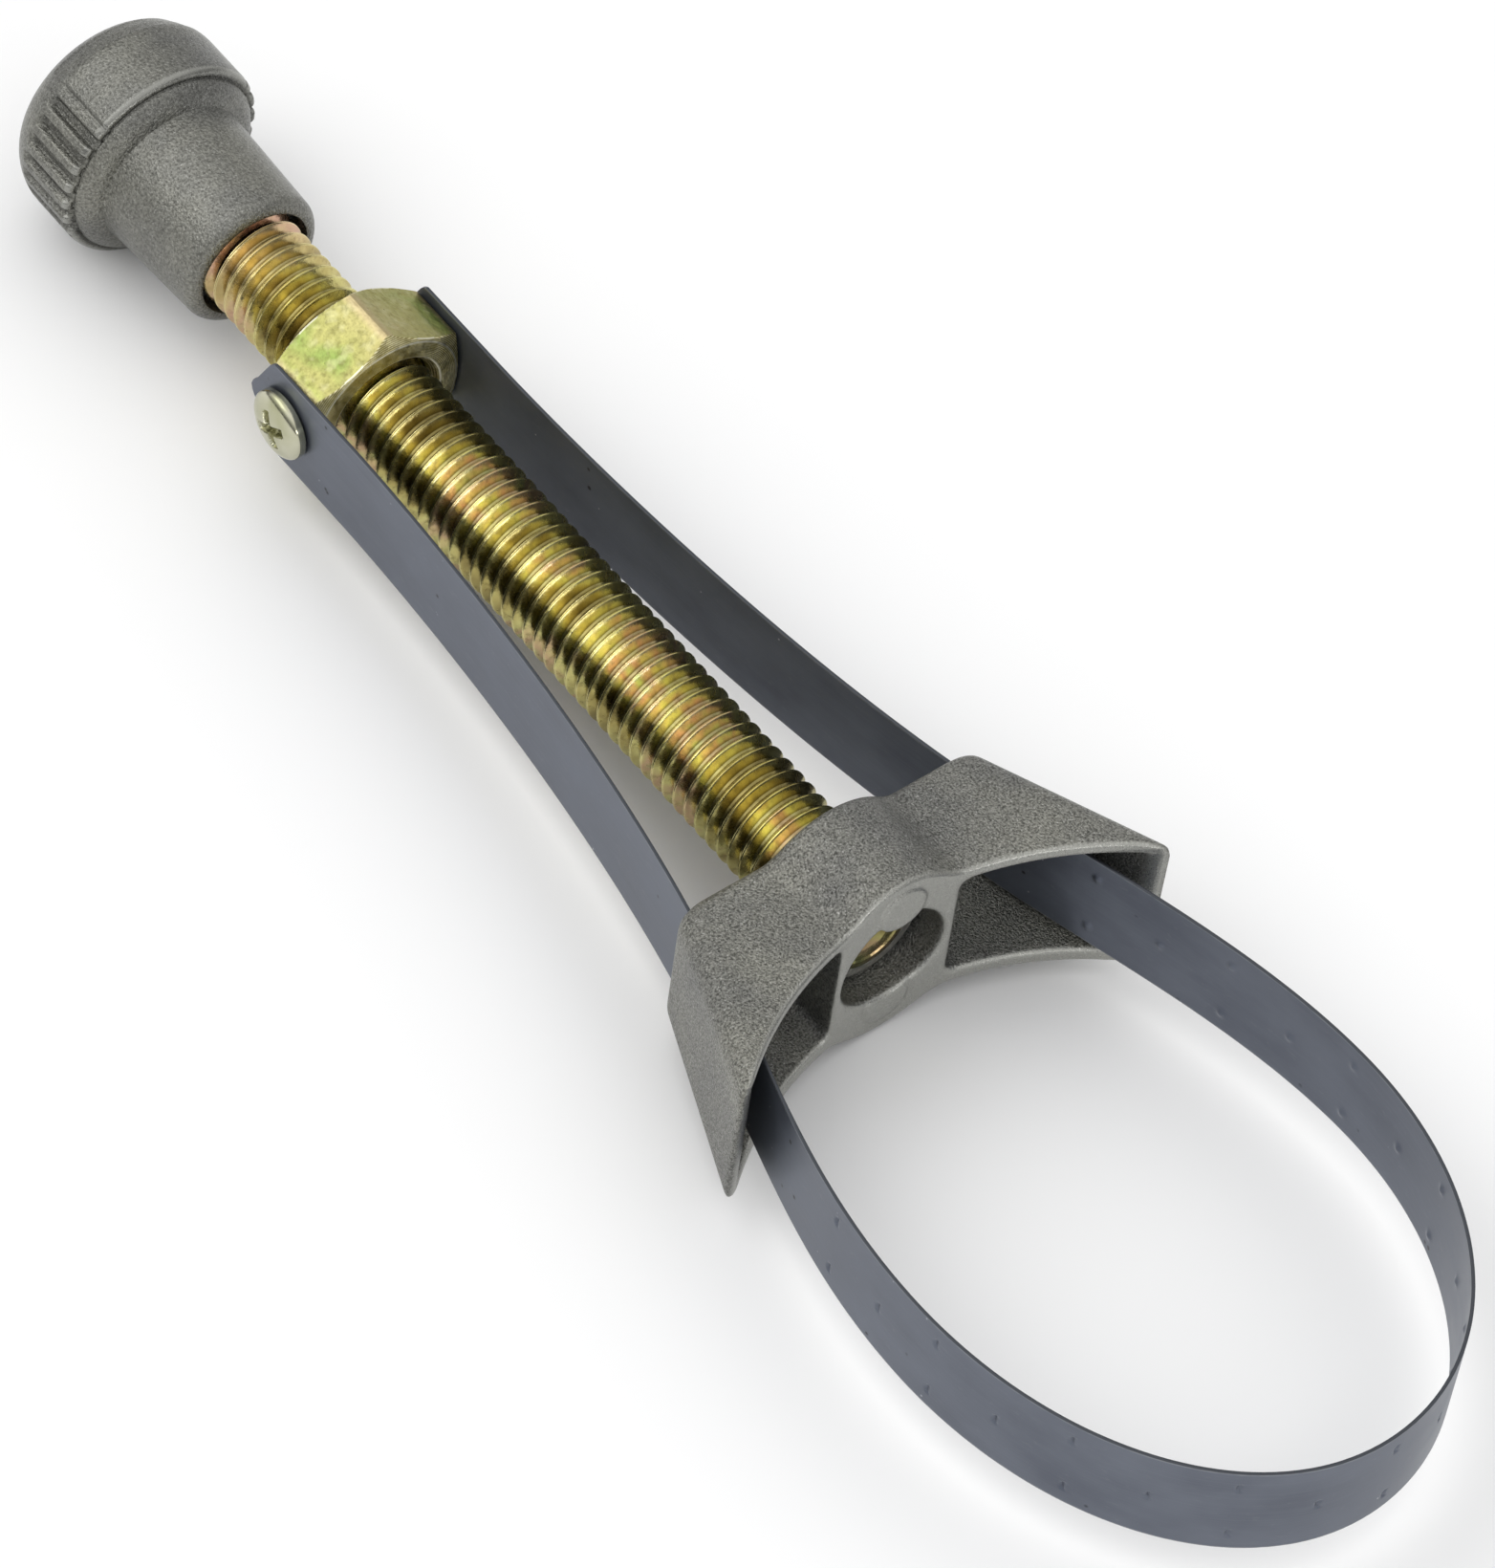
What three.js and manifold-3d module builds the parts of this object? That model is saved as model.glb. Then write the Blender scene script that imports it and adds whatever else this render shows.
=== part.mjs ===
// Strap oil filter wrench: a knob turns a threaded spindle that is carried in a cast saddle. A nut on the
// spindle holds both ends of a spring steel strap, which runs through the saddle and around the filter.
// Millimetres. +X runs along the spindle from the knob to the loop, the strap is coiled about +Z, and the
// origin is the middle of the knob's end face.
import * as THREE from "three";
import { mergeVertices } from "three/addons/utils/BufferGeometryUtils.js";
import Module from "manifold-3d";

const GAP = 0.3; // clearance between pieces that touch
const MARGIN = 1; // how far a cut runs past the face it opens
const ROUND_SEGMENTS = 48;
const PIN_SEGMENTS = 24;
const SCREW_SEGMENTS = 32;

// Spindle: a 5/8 inch thread, 11 turns to the inch, worn a little under its nominal size.
const SPINDLE_RADIUS = 7.57;
const SPINDLE_START = 17.9;
const SPINDLE_SHOULDER = 160.8;
const SPINDLE_CHAMFER = 1;
const JOURNAL_RADIUS = 5.3;
const RIVET_RADIUS = 6.4;
const RIVET_START = 172.4;
const RIVET_END = 173.8;
const RIVET_ROUND = 1;
const RIVET_DISH = 0.2;

// Knob, a casting with a wide gripping rim and a tapered neck.
const KNOB_RADIUS = 15.95;
const END_FACE_RADIUS = 9;
const CROWN_END = 7.6; // the end face rounds into the rim as a quarter ellipse this long
const RIM_END = 14.9;
const RIM_EDGE = new THREE.Vector2(16.1, 15.2);
const SHOULDER_START_RADIUS = 14.8;
const SHOULDER_CORNER = new THREE.Vector2(18, 13.6); // where the shoulder's dome would meet in a corner
const NECK_START = 18.6;
const NECK_START_RADIUS = 11.5;
const NECK_END = 37.85;
const NECK_END_RADIUS = 10.7;
const NECK_ROUND = 1.9;
const COUNTERBORE_RADIUS = 8.5;
const COUNTERBORE_START = 34.1;
const KNOB_BORE_END = SPINDLE_START - GAP;

// Spring pin through one side of the neck into the spindle.
const PIN_RADIUS = 2;
const PIN_X = 30.6;
const PIN_OUTER = 10.7;
const PIN_INNER = 3;

// Hexagon nut, with two flats facing the strap.
const NUT_FLATS = 23.5;
const NUT_HEIGHT = 11;
const NUT_CENTRE = 62.4;
const NUT_FACE_RADIUS = 11.4;
const CHAMFER_ANGLE = Math.PI / 6;

// Pan head screws that hold the strap's ends to the nut.
const SCREW_RADIUS = 2.5;
const SCREW_HEAD_RADIUS = 5.1;
const SCREW_HEAD_HEIGHT = 2.6;
const SCREW_HEAD_EDGE = 0.9;
const SCREW_HEAD_CORNER = new THREE.Vector2(2.5, 4.3); // height and radius where edge and crown would meet
const SCREW_TIP = SPINDLE_RADIUS + 2 * GAP;

// Strap.
const STRAP_THICKNESS = 0.5;
const STRAP_WIDTH = 16.5;
const STRAP_AT_NUT = NUT_FLATS / 2 + GAP + STRAP_THICKNESS / 2;
const STRAIGHT_END = 75.6;
const STRAIGHT_HANDLE = 7; // how long a strand keeps its direction past the nut, as a Bezier handle
const POCKET_HANDLE = 37;
const POCKET_ENTRY = new THREE.Vector2(161.1, 21.3);
const POCKET_SLOPE = 0.23;
const STRAP_SPLIT = 168.6;
const LOOP_MIDDLE = 224.6;
const LOOP_HALF_WIDTH = 35;
const LOOP_FAR_END = 271.1;
const LOOP_HANDLE = 22;
const ELLIPSE_HANDLE = 0.56; // Bezier handle length of a quarter ellipse, as a share of its radius
const CURVE_STEPS = 14;

// Saddle, a casting with a boss for the spindle between two hollow wings.
const SADDLE_BACK = 161.1;
const SADDLE_BACK_HALF_WIDTH = 23.8;
const SADDLE_BACK_HALF_HEIGHT = 11;
const TIP_X = 188.2;
const TIP_OUTER_Y = 34.6;
const TIP_INNER_Y = 33.3;
const TIP_HALF_HEIGHT = 12.8;
const SADDLE_FRONT = 176.4;
const SADDLE_ARC_RADIUS = 51;
const ARC_SEGMENTS = 120;
const SADDLE_CORNER = 2.5;
const WALL = 2.1;
const BOSS_RADIUS = 12;
const BOSS_CROWN = 15.4;
const WEB_HALF_WIDTH = 9.6;
const SADDLE_BORE_RADIUS = 8.2;
const REAR_WALL_END = 170.6;

// Washer under the spindle's riveted end.
const WASHER_RADIUS = 7.4;
const WASHER_THICKNESS = 1.2;

const wasm = await Module();
wasm.setup();

// A closed geometry as a solid that can be cut and joined.
function solidOf(geometry) {
  const bare = geometry.clone();
  bare.deleteAttribute("normal");
  bare.deleteAttribute("uv");
  const merged = mergeVertices(bare, 1e-4);
  return new wasm.Manifold(
    new wasm.Mesh({
      numProp: 3,
      vertProperties: new Float32Array(merged.attributes.position.array),
      triVerts: new Uint32Array(merged.index.array),
    }),
  );
}

function geometryOf(solid) {
  const mesh = solid.getMesh();
  const geometry = new THREE.BufferGeometry();
  geometry.setAttribute("position", new THREE.BufferAttribute(mesh.vertProperties, 3));
  geometry.setIndex(new THREE.BufferAttribute(mesh.triVerts, 1));
  geometry.computeVertexNormals();
  return geometry;
}

// A turned body about the X axis. Its profile is a list of [x, radius] that starts and ends on the axis.
function turned(profile, segments = ROUND_SEGMENTS) {
  const points = profile.map(([x, radius]) => new THREE.Vector2(radius, x));
  return new THREE.LatheGeometry(points, segments).rotateZ(-Math.PI / 2);
}

function rod(radius, from, to, segments = ROUND_SEGMENTS) {
  return turned([[from, 0], [from, radius], [to, radius], [to, 0]], segments);
}

// A rod along Y, from one height to another, centred on x.
function rodAlongY(radius, x, from, to) {
  return rod(radius, from, to, PIN_SEGMENTS).rotateZ(Math.PI / 2).translate(x, 0, 0);
}

// A plan outline in X and Y, raised evenly about Z = 0.
function plate(shape, height, curveSegments = 12) {
  const settings = { depth: height, bevelEnabled: false, curveSegments };
  return new THREE.ExtrudeGeometry(shape, settings).translate(0, 0, -height / 2);
}

// A side outline in X and Z, spread evenly about Y = 0.
function sidePlate(shape, width, curveSegments = 12) {
  return plate(shape, width, curveSegments).rotateX(Math.PI / 2);
}

// Points of a quarter circle about a centre, from one angle to another.
function quarter(centreX, centreR, radius, fromAngle, toAngle, steps = 5) {
  const points = [];
  for (let i = 0; i <= steps; i++) {
    const angle = fromAngle + ((toAngle - fromAngle) * i) / steps;
    points.push([centreX + radius * Math.cos(angle), centreR + radius * Math.sin(angle)]);
  }
  return points;
}

function spindle() {
  const body = turned([
    [SPINDLE_START, 0],
    [SPINDLE_START, SPINDLE_RADIUS - SPINDLE_CHAMFER],
    [SPINDLE_START + SPINDLE_CHAMFER, SPINDLE_RADIUS],
    [SPINDLE_SHOULDER - SPINDLE_CHAMFER, SPINDLE_RADIUS],
    [SPINDLE_SHOULDER, SPINDLE_RADIUS - SPINDLE_CHAMFER],
    [SPINDLE_SHOULDER, JOURNAL_RADIUS],
    [RIVET_START, JOURNAL_RADIUS],
    [RIVET_START, RIVET_RADIUS],
    ...quarter(RIVET_END - RIVET_ROUND, RIVET_RADIUS - RIVET_ROUND, RIVET_ROUND, Math.PI / 2, 0),
    [RIVET_END - RIVET_DISH, 0],
  ]);
  return geometryOf(solidOf(body).subtract(pinHole(PIN_INNER - GAP)));
}

// The pin's hole, from a given distance below the axis down past the neck.
function pinHole(from) {
  const hole = rod(PIN_RADIUS + GAP, from, KNOB_RADIUS, PIN_SEGMENTS);
  return solidOf(hole.rotateY(Math.PI / 2).translate(PIN_X, 0, 0));
}

function knob() {
  const crown = new THREE.EllipseCurve(
    CROWN_END,
    END_FACE_RADIUS,
    CROWN_END,
    KNOB_RADIUS - END_FACE_RADIUS,
    Math.PI,
    Math.PI / 2,
    true,
  );
  const shoulder = new THREE.QuadraticBezierCurve(
    new THREE.Vector2(RIM_EDGE.x, SHOULDER_START_RADIUS),
    SHOULDER_CORNER,
    new THREE.Vector2(NECK_START, NECK_START_RADIUS),
  );
  const body = turned([
    [0, 0],
    ...crown.getPoints(8).map((p) => [p.x, p.y]),
    [RIM_END, KNOB_RADIUS],
    [RIM_EDGE.x, RIM_EDGE.y],
    ...shoulder.getPoints(6).map((p) => [p.x, p.y]),
    ...quarter(NECK_END - NECK_ROUND, NECK_END_RADIUS - NECK_ROUND, NECK_ROUND, Math.PI / 2, 0),
    [NECK_END, COUNTERBORE_RADIUS],
    [COUNTERBORE_START, COUNTERBORE_RADIUS],
    [COUNTERBORE_START, SPINDLE_RADIUS + GAP],
    [KNOB_BORE_END, SPINDLE_RADIUS + GAP],
    [KNOB_BORE_END, 0],
  ]);
  return geometryOf(solidOf(body).subtract(pinHole(PIN_INNER)));
}

function knobPin() {
  return rod(PIN_RADIUS, PIN_INNER, PIN_OUTER, PIN_SEGMENTS).rotateY(Math.PI / 2).translate(PIN_X, 0, 0);
}

function nut() {
  const corner = NUT_FLATS / Math.sqrt(3);
  const hexagon = new THREE.CylinderGeometry(corner, corner, NUT_HEIGHT, 6).rotateZ(-Math.PI / 2);
  // a hexagon prism made about Y has a corner towards +Z, and keeps it there when it is laid along X
  const body = solidOf(hexagon.translate(NUT_CENTRE, 0, 0));
  const back = NUT_CENTRE - NUT_HEIGHT / 2;
  const front = NUT_CENTRE + NUT_HEIGHT / 2;
  const wide = corner + MARGIN;
  const drop = (wide - NUT_FACE_RADIUS) * Math.tan(CHAMFER_ANGLE);
  const chamfers = turned([
    [back, 0],
    [back, NUT_FACE_RADIUS],
    [back + drop, wide],
    [front - drop, wide],
    [front, NUT_FACE_RADIUS],
    [front, 0],
  ]);
  const bore = rod(SPINDLE_RADIUS + GAP, back - MARGIN, front + MARGIN);
  const cross = rodAlongY(SCREW_RADIUS + GAP, NUT_CENTRE, -NUT_FLATS, NUT_FLATS);
  return geometryOf(body.intersect(solidOf(chamfers)).subtract(solidOf(bore)).subtract(solidOf(cross)));
}

// A pan head screw along Y on one side of the nut (side is 1 or -1).
function strapScrew(side) {
  const under = STRAP_AT_NUT + STRAP_THICKNESS / 2 + GAP;
  const crown = new THREE.QuadraticBezierCurve(
    new THREE.Vector2(under + SCREW_HEAD_EDGE, SCREW_HEAD_RADIUS),
    new THREE.Vector2(under + SCREW_HEAD_CORNER.x, SCREW_HEAD_CORNER.y),
    new THREE.Vector2(under + SCREW_HEAD_HEIGHT, 0),
  );
  const profile = [
    [SCREW_TIP, 0],
    [SCREW_TIP, SCREW_RADIUS],
    [under, SCREW_RADIUS],
    [under, SCREW_HEAD_RADIUS],
    ...crown.getPoints(8).map((p) => [p.x, p.y]),
  ];
  return turned(profile, SCREW_SEGMENTS).rotateZ((side * Math.PI) / 2).translate(NUT_CENTRE, 0, 0);
}

// A ribbon of the strap's thickness and width that follows points in plan.
function ribbon(points) {
  const half = STRAP_THICKNESS / 2;
  const outer = [];
  const inner = [];
  points.forEach((point, i) => {
    const before = points[Math.max(i - 1, 0)];
    const after = points[Math.min(i + 1, points.length - 1)];
    const along = after.clone().sub(before).normalize();
    outer.push(new THREE.Vector2(point.x - along.y * half, point.y + along.x * half));
    inner.unshift(new THREE.Vector2(point.x + along.y * half, point.y - along.x * half));
  });
  return plate(new THREE.Shape([...outer, ...inner]), STRAP_WIDTH);
}

// One straight run, from its rounded end on the nut to the split inside the saddle's pocket.
function strapRun(side) {
  const tip = NUT_CENTRE - STRAP_WIDTH / 2;
  const path = new THREE.Path();
  path.moveTo(tip, side * STRAP_AT_NUT);
  path.lineTo(STRAIGHT_END, side * STRAP_AT_NUT);
  path.bezierCurveTo(
    STRAIGHT_END + STRAIGHT_HANDLE,
    side * STRAP_AT_NUT,
    POCKET_ENTRY.x - POCKET_HANDLE,
    side * pocketPath(POCKET_ENTRY.x - POCKET_HANDLE),
    POCKET_ENTRY.x,
    side * POCKET_ENTRY.y,
  );
  path.lineTo(STRAP_SPLIT, side * pocketPath(STRAP_SPLIT));
  const rounded = new THREE.Shape();
  rounded.absarc(NUT_CENTRE, 0, STRAP_WIDTH / 2, Math.PI / 2, (3 * Math.PI) / 2, false);
  rounded.lineTo(STRAP_SPLIT + MARGIN, -STRAP_WIDTH / 2);
  rounded.lineTo(STRAP_SPLIT + MARGIN, STRAP_WIDTH / 2);
  const outline = solidOf(sidePlate(rounded, 4 * LOOP_HALF_WIDTH));
  const hole = solidOf(rodAlongY(SCREW_RADIUS + GAP, NUT_CENTRE, -LOOP_HALF_WIDTH, LOOP_HALF_WIDTH));
  const strip = solidOf(ribbon(path.getPoints(CURVE_STEPS)));
  return geometryOf(strip.intersect(outline).subtract(hole));
}

// The strap's distance from the spindle axis where it lies straight, inside the pocket.
function pocketPath(x) {
  return POCKET_ENTRY.y + (x - POCKET_ENTRY.x) * POCKET_SLOPE;
}

// Half of the loop, from the split in one pocket to the far end.
function halfLoop(side) {
  const start = STRAP_SPLIT + GAP;
  const far = LOOP_FAR_END - LOOP_MIDDLE;
  const path = new THREE.Path();
  path.moveTo(start, side * pocketPath(start));
  path.bezierCurveTo(
    start + LOOP_HANDLE,
    side * pocketPath(start + LOOP_HANDLE),
    LOOP_MIDDLE - LOOP_HANDLE,
    side * LOOP_HALF_WIDTH,
    LOOP_MIDDLE,
    side * LOOP_HALF_WIDTH,
  );
  path.bezierCurveTo(
    LOOP_MIDDLE + far * ELLIPSE_HANDLE,
    side * LOOP_HALF_WIDTH,
    LOOP_FAR_END,
    side * LOOP_HALF_WIDTH * ELLIPSE_HANDLE,
    LOOP_FAR_END,
    0,
  );
  return path.getPoints(CURVE_STEPS);
}

function strapLoop() {
  const back = halfLoop(1).reverse().slice(1);
  return ribbon([...halfLoop(-1), ...back]);
}

// Half height of the saddle's plates, which spread towards the wing tips.
function plateHalfHeight(x) {
  const share = (x - SADDLE_BACK) / (TIP_X - SADDLE_BACK);
  return SADDLE_BACK_HALF_HEIGHT + share * (TIP_HALF_HEIGHT - SADDLE_BACK_HALF_HEIGHT);
}

// Side view of the saddle's plates, drawn in by an inset and running past both ends.
function plateProfile(inset) {
  const back = SADDLE_BACK - 2 * MARGIN;
  const front = TIP_X + 2 * MARGIN;
  const shape = new THREE.Shape();
  shape.moveTo(back, -plateHalfHeight(back) + inset);
  shape.lineTo(front, -plateHalfHeight(front) + inset);
  shape.lineTo(front, plateHalfHeight(front) - inset);
  shape.lineTo(back, plateHalfHeight(back) - inset);
  return shape;
}

// The wings' plan, with rounded back corners and the concave front that faces the filter.
function saddlePlan() {
  const arcCentre = SADDLE_FRONT + SADDLE_ARC_RADIUS;
  const tipAngle = Math.asin(TIP_INNER_Y / SADDLE_ARC_RADIUS);
  const shape = new THREE.Shape();
  shape.moveTo(SADDLE_BACK, 0);
  shape.lineTo(SADDLE_BACK, -SADDLE_BACK_HALF_WIDTH + SADDLE_CORNER);
  shape.quadraticCurveTo(
    SADDLE_BACK,
    -SADDLE_BACK_HALF_WIDTH,
    SADDLE_BACK + SADDLE_CORNER,
    -wingOuter(SADDLE_BACK + SADDLE_CORNER),
  );
  shape.lineTo(TIP_X, -TIP_OUTER_Y);
  shape.absarc(arcCentre, 0, SADDLE_ARC_RADIUS, Math.PI + tipAngle, Math.PI - tipAngle, true);
  shape.lineTo(TIP_X, TIP_OUTER_Y);
  shape.lineTo(SADDLE_BACK + SADDLE_CORNER, wingOuter(SADDLE_BACK + SADDLE_CORNER));
  shape.quadraticCurveTo(
    SADDLE_BACK,
    SADDLE_BACK_HALF_WIDTH,
    SADDLE_BACK,
    SADDLE_BACK_HALF_WIDTH - SADDLE_CORNER,
  );
  return shape;
}

// Distance from the spindle axis to a wing's outer face.
function wingOuter(x) {
  const slope = (TIP_OUTER_Y - SADDLE_BACK_HALF_WIDTH) / (TIP_X - SADDLE_BACK);
  return SADDLE_BACK_HALF_WIDTH + (x - SADDLE_BACK) * slope;
}

// One wing's hollow, open at the back and at the front.
function pocket(side) {
  const back = SADDLE_BACK - MARGIN;
  const front = TIP_X + MARGIN;
  const shape = new THREE.Shape();
  shape.moveTo(back, side * WEB_HALF_WIDTH);
  shape.lineTo(front, side * WEB_HALF_WIDTH);
  shape.lineTo(front, side * (wingOuter(front) - WALL));
  shape.lineTo(back, side * (wingOuter(back) - WALL));
  const plan = solidOf(plate(shape, 4 * TIP_HALF_HEIGHT));
  return plan.intersect(solidOf(sidePlate(plateProfile(WALL), 4 * TIP_OUTER_Y)));
}

// The boss: two half rounds, above and below the spindle, joined by flat sides.
function boss() {
  const height = BOSS_CROWN - BOSS_RADIUS;
  const section = new THREE.Shape();
  section.absarc(0, height, BOSS_RADIUS, 0, Math.PI, false);
  section.absarc(0, -height, BOSS_RADIUS, Math.PI, 2 * Math.PI, false);
  const length = TIP_X - SADDLE_BACK;
  const bar = new THREE.ExtrudeGeometry(section, { depth: length, bevelEnabled: false, curveSegments: 16 });
  // the section's own X and Y become Y and Z, and its depth runs along X
  bar.rotateX(Math.PI / 2).rotateZ(Math.PI / 2).translate(SADDLE_BACK, 0, 0);
  return solidOf(bar);
}

function saddle() {
  const height = 4 * TIP_HALF_HEIGHT;
  const filterArc = new THREE.CylinderGeometry(SADDLE_ARC_RADIUS, SADDLE_ARC_RADIUS, height, ARC_SEGMENTS);
  const wings = solidOf(plate(saddlePlan(), height, 20));
  const filter = solidOf(filterArc.rotateX(Math.PI / 2).translate(SADDLE_FRONT + SADDLE_ARC_RADIUS, 0, 0));
  const front = rod(SADDLE_BORE_RADIUS, REAR_WALL_END, TIP_X);
  const rear = rod(JOURNAL_RADIUS + GAP, SADDLE_BACK - MARGIN, TIP_X);
  const body = wings
    .intersect(solidOf(sidePlate(plateProfile(0), 4 * TIP_OUTER_Y)))
    .add(boss().subtract(filter))
    .subtract(pocket(1))
    .subtract(pocket(-1))
    .subtract(solidOf(front))
    .subtract(solidOf(rear));
  return geometryOf(body);
}

function retainingWasher() {
  const from = REAR_WALL_END + GAP;
  const disc = solidOf(rod(WASHER_RADIUS, from, from + WASHER_THICKNESS));
  return geometryOf(disc.subtract(solidOf(rod(JOURNAL_RADIUS + GAP, from - MARGIN, RIVET_START))));
}

const castMetal = () => new THREE.MeshStandardMaterial({ color: 0x74746c, roughness: 0.75, metalness: 0.6 });
const yellowZinc = () => new THREE.MeshStandardMaterial({ color: 0xb09a45, roughness: 0.32, metalness: 0.9 });
const paleZinc = () => new THREE.MeshStandardMaterial({ color: 0xc9c79c, roughness: 0.28, metalness: 0.9 });
const springSteel = () => new THREE.MeshStandardMaterial({ color: 0x555c6c, roughness: 0.42, metalness: 0.9 });
const greySteel = () => new THREE.MeshStandardMaterial({ color: 0x9a9a98, roughness: 0.4, metalness: 0.9 });

const pieces = [
  ["saddle", saddle(), castMetal()],
  ["spindle", spindle(), yellowZinc()],
  ["retaining_washer", retainingWasher(), greySteel()],
  ["knob", knob(), castMetal()],
  ["knob_pin", knobPin(), greySteel()],
  ["nut", nut(), yellowZinc()],
  ["strap_screw_left", strapScrew(-1), paleZinc()],
  ["strap_screw_right", strapScrew(1), paleZinc()],
  ["strap_run_left", strapRun(-1), springSteel()],
  ["strap_run_right", strapRun(1), springSteel()],
  ["strap_loop", strapLoop(), springSteel()],
];

const wrench = new THREE.Group();
for (const [name, geometry, material] of pieces) {
  const mesh = new THREE.Mesh(geometry, material);
  mesh.name = name;
  wrench.add(mesh);
}

export default wrench;
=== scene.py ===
"""Strap oil filter wrench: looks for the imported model, in metres in its own frame.

+X runs along the spindle from the knob to the loop, and the strap is coiled about +Z. Lengths in the
code are millimetres until a mesh is made.
"""
import math

import bmesh
import bpy
import numpy as np
from mathutils import Matrix, Vector


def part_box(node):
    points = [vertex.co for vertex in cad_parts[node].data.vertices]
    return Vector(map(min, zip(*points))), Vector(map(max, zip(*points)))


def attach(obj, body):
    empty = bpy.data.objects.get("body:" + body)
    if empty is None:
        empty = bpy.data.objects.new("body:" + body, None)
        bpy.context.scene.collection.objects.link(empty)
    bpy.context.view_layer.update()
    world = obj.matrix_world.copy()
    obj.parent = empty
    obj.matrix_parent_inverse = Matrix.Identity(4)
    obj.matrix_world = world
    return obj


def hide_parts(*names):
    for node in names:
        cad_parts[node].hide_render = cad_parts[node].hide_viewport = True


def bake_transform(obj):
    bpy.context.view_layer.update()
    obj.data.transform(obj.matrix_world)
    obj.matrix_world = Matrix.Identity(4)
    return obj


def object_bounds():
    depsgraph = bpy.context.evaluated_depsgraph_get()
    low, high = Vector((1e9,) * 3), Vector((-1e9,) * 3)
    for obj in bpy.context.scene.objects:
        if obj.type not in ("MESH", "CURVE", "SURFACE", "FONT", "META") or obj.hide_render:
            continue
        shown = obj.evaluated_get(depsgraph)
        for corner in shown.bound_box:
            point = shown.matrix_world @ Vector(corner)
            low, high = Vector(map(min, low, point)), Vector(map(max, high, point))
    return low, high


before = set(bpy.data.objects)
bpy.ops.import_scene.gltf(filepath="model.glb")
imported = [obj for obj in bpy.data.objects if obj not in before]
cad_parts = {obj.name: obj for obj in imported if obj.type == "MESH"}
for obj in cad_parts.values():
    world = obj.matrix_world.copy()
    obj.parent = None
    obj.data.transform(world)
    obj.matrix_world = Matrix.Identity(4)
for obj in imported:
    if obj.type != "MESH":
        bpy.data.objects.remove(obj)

MM = 0.001
CAD_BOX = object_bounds()
SCENE = bpy.context.scene


def box(node):
    """Lowest and highest corner of a CAD node, in millimetres."""
    low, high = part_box(node)
    return np.array(low) / MM, np.array(high) / MM


KNOB_HIGH = box("knob")[1]
SPINDLE_LOW, SPINDLE_HIGH = box("spindle")
NUT_LOW, NUT_HIGH = box("nut")
SADDLE_LOW, SADDLE_HIGH = box("saddle")
RUN_LOW, RUN_HIGH = box("strap_run_right")
LOOP_HIGH = box("strap_loop")[1]
WASHER_HIGH = box("retaining_washer")[1]
STRAP_HALF = (RUN_HIGH[2] - RUN_LOW[2]) / 2

# The nut's flat end faces stop at this radius, and its countersinks at this one.
NUT_FACE_RADIUS = 11.4
NUT_MOUTH_RADIUS = 8.75
NUT_MIDDLE = (NUT_LOW[0] + NUT_HIGH[0]) / 2

# The saddle's concave front: where it crosses the spindle's axis, and its radius about Z.
FRONT_X = 176.4
ARC_RADIUS = 51.0

# ---------------------------------------------------------------- camera, floor and light

CAMERA_AT = Vector((0.5947, -0.4430, 0.8125))
CAMERA_RIGHT = Vector((0.6080, 0.7883, 0.0944))
CAMERA_UP = Vector((-0.6627, 0.4383, 0.6073))
CAMERA_BACK = Vector((0.4373, -0.4318, 0.7889))
CAMERA_LENS = 184.0
KEY_DIRECTION = (-0.45, -0.50, 0.74)
FLOOR_HALF = 3.0


def add_camera():
    data = bpy.data.cameras.new("camera")
    data.sensor_width = 36.0
    data.lens = CAMERA_LENS
    camera = bpy.data.objects.new("camera", data)
    pose = Matrix((CAMERA_RIGHT, CAMERA_UP, CAMERA_BACK)).transposed().to_4x4()
    pose.translation = CAMERA_AT
    camera.matrix_world = pose
    SCENE.collection.objects.link(camera)
    SCENE.camera = camera


def add_floor():
    z = CAD_BOX[0].z
    corners = [(x, y, z) for x, y in ((-1, -1), (1, -1), (1, 1), (-1, 1))]
    mesh = bpy.data.meshes.new("floor")
    mesh.from_pydata([(x * FLOOR_HALF, y * FLOOR_HALF, h) for x, y, h in corners], [], [(0, 1, 2, 3)])
    floor = bpy.data.objects.new("floor", mesh)
    SCENE.collection.objects.link(floor)
    material = bpy.data.materials.new("floor")
    material.use_nodes = True
    shader = material.node_tree.nodes["Principled BSDF"]
    shader.inputs["Base Color"].default_value = (0.93, 0.93, 0.93, 1)
    shader.inputs["Roughness"].default_value = 0.9
    shader.inputs["Specular IOR Level"].default_value = 0.1
    mesh.materials.append(material)


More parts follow.
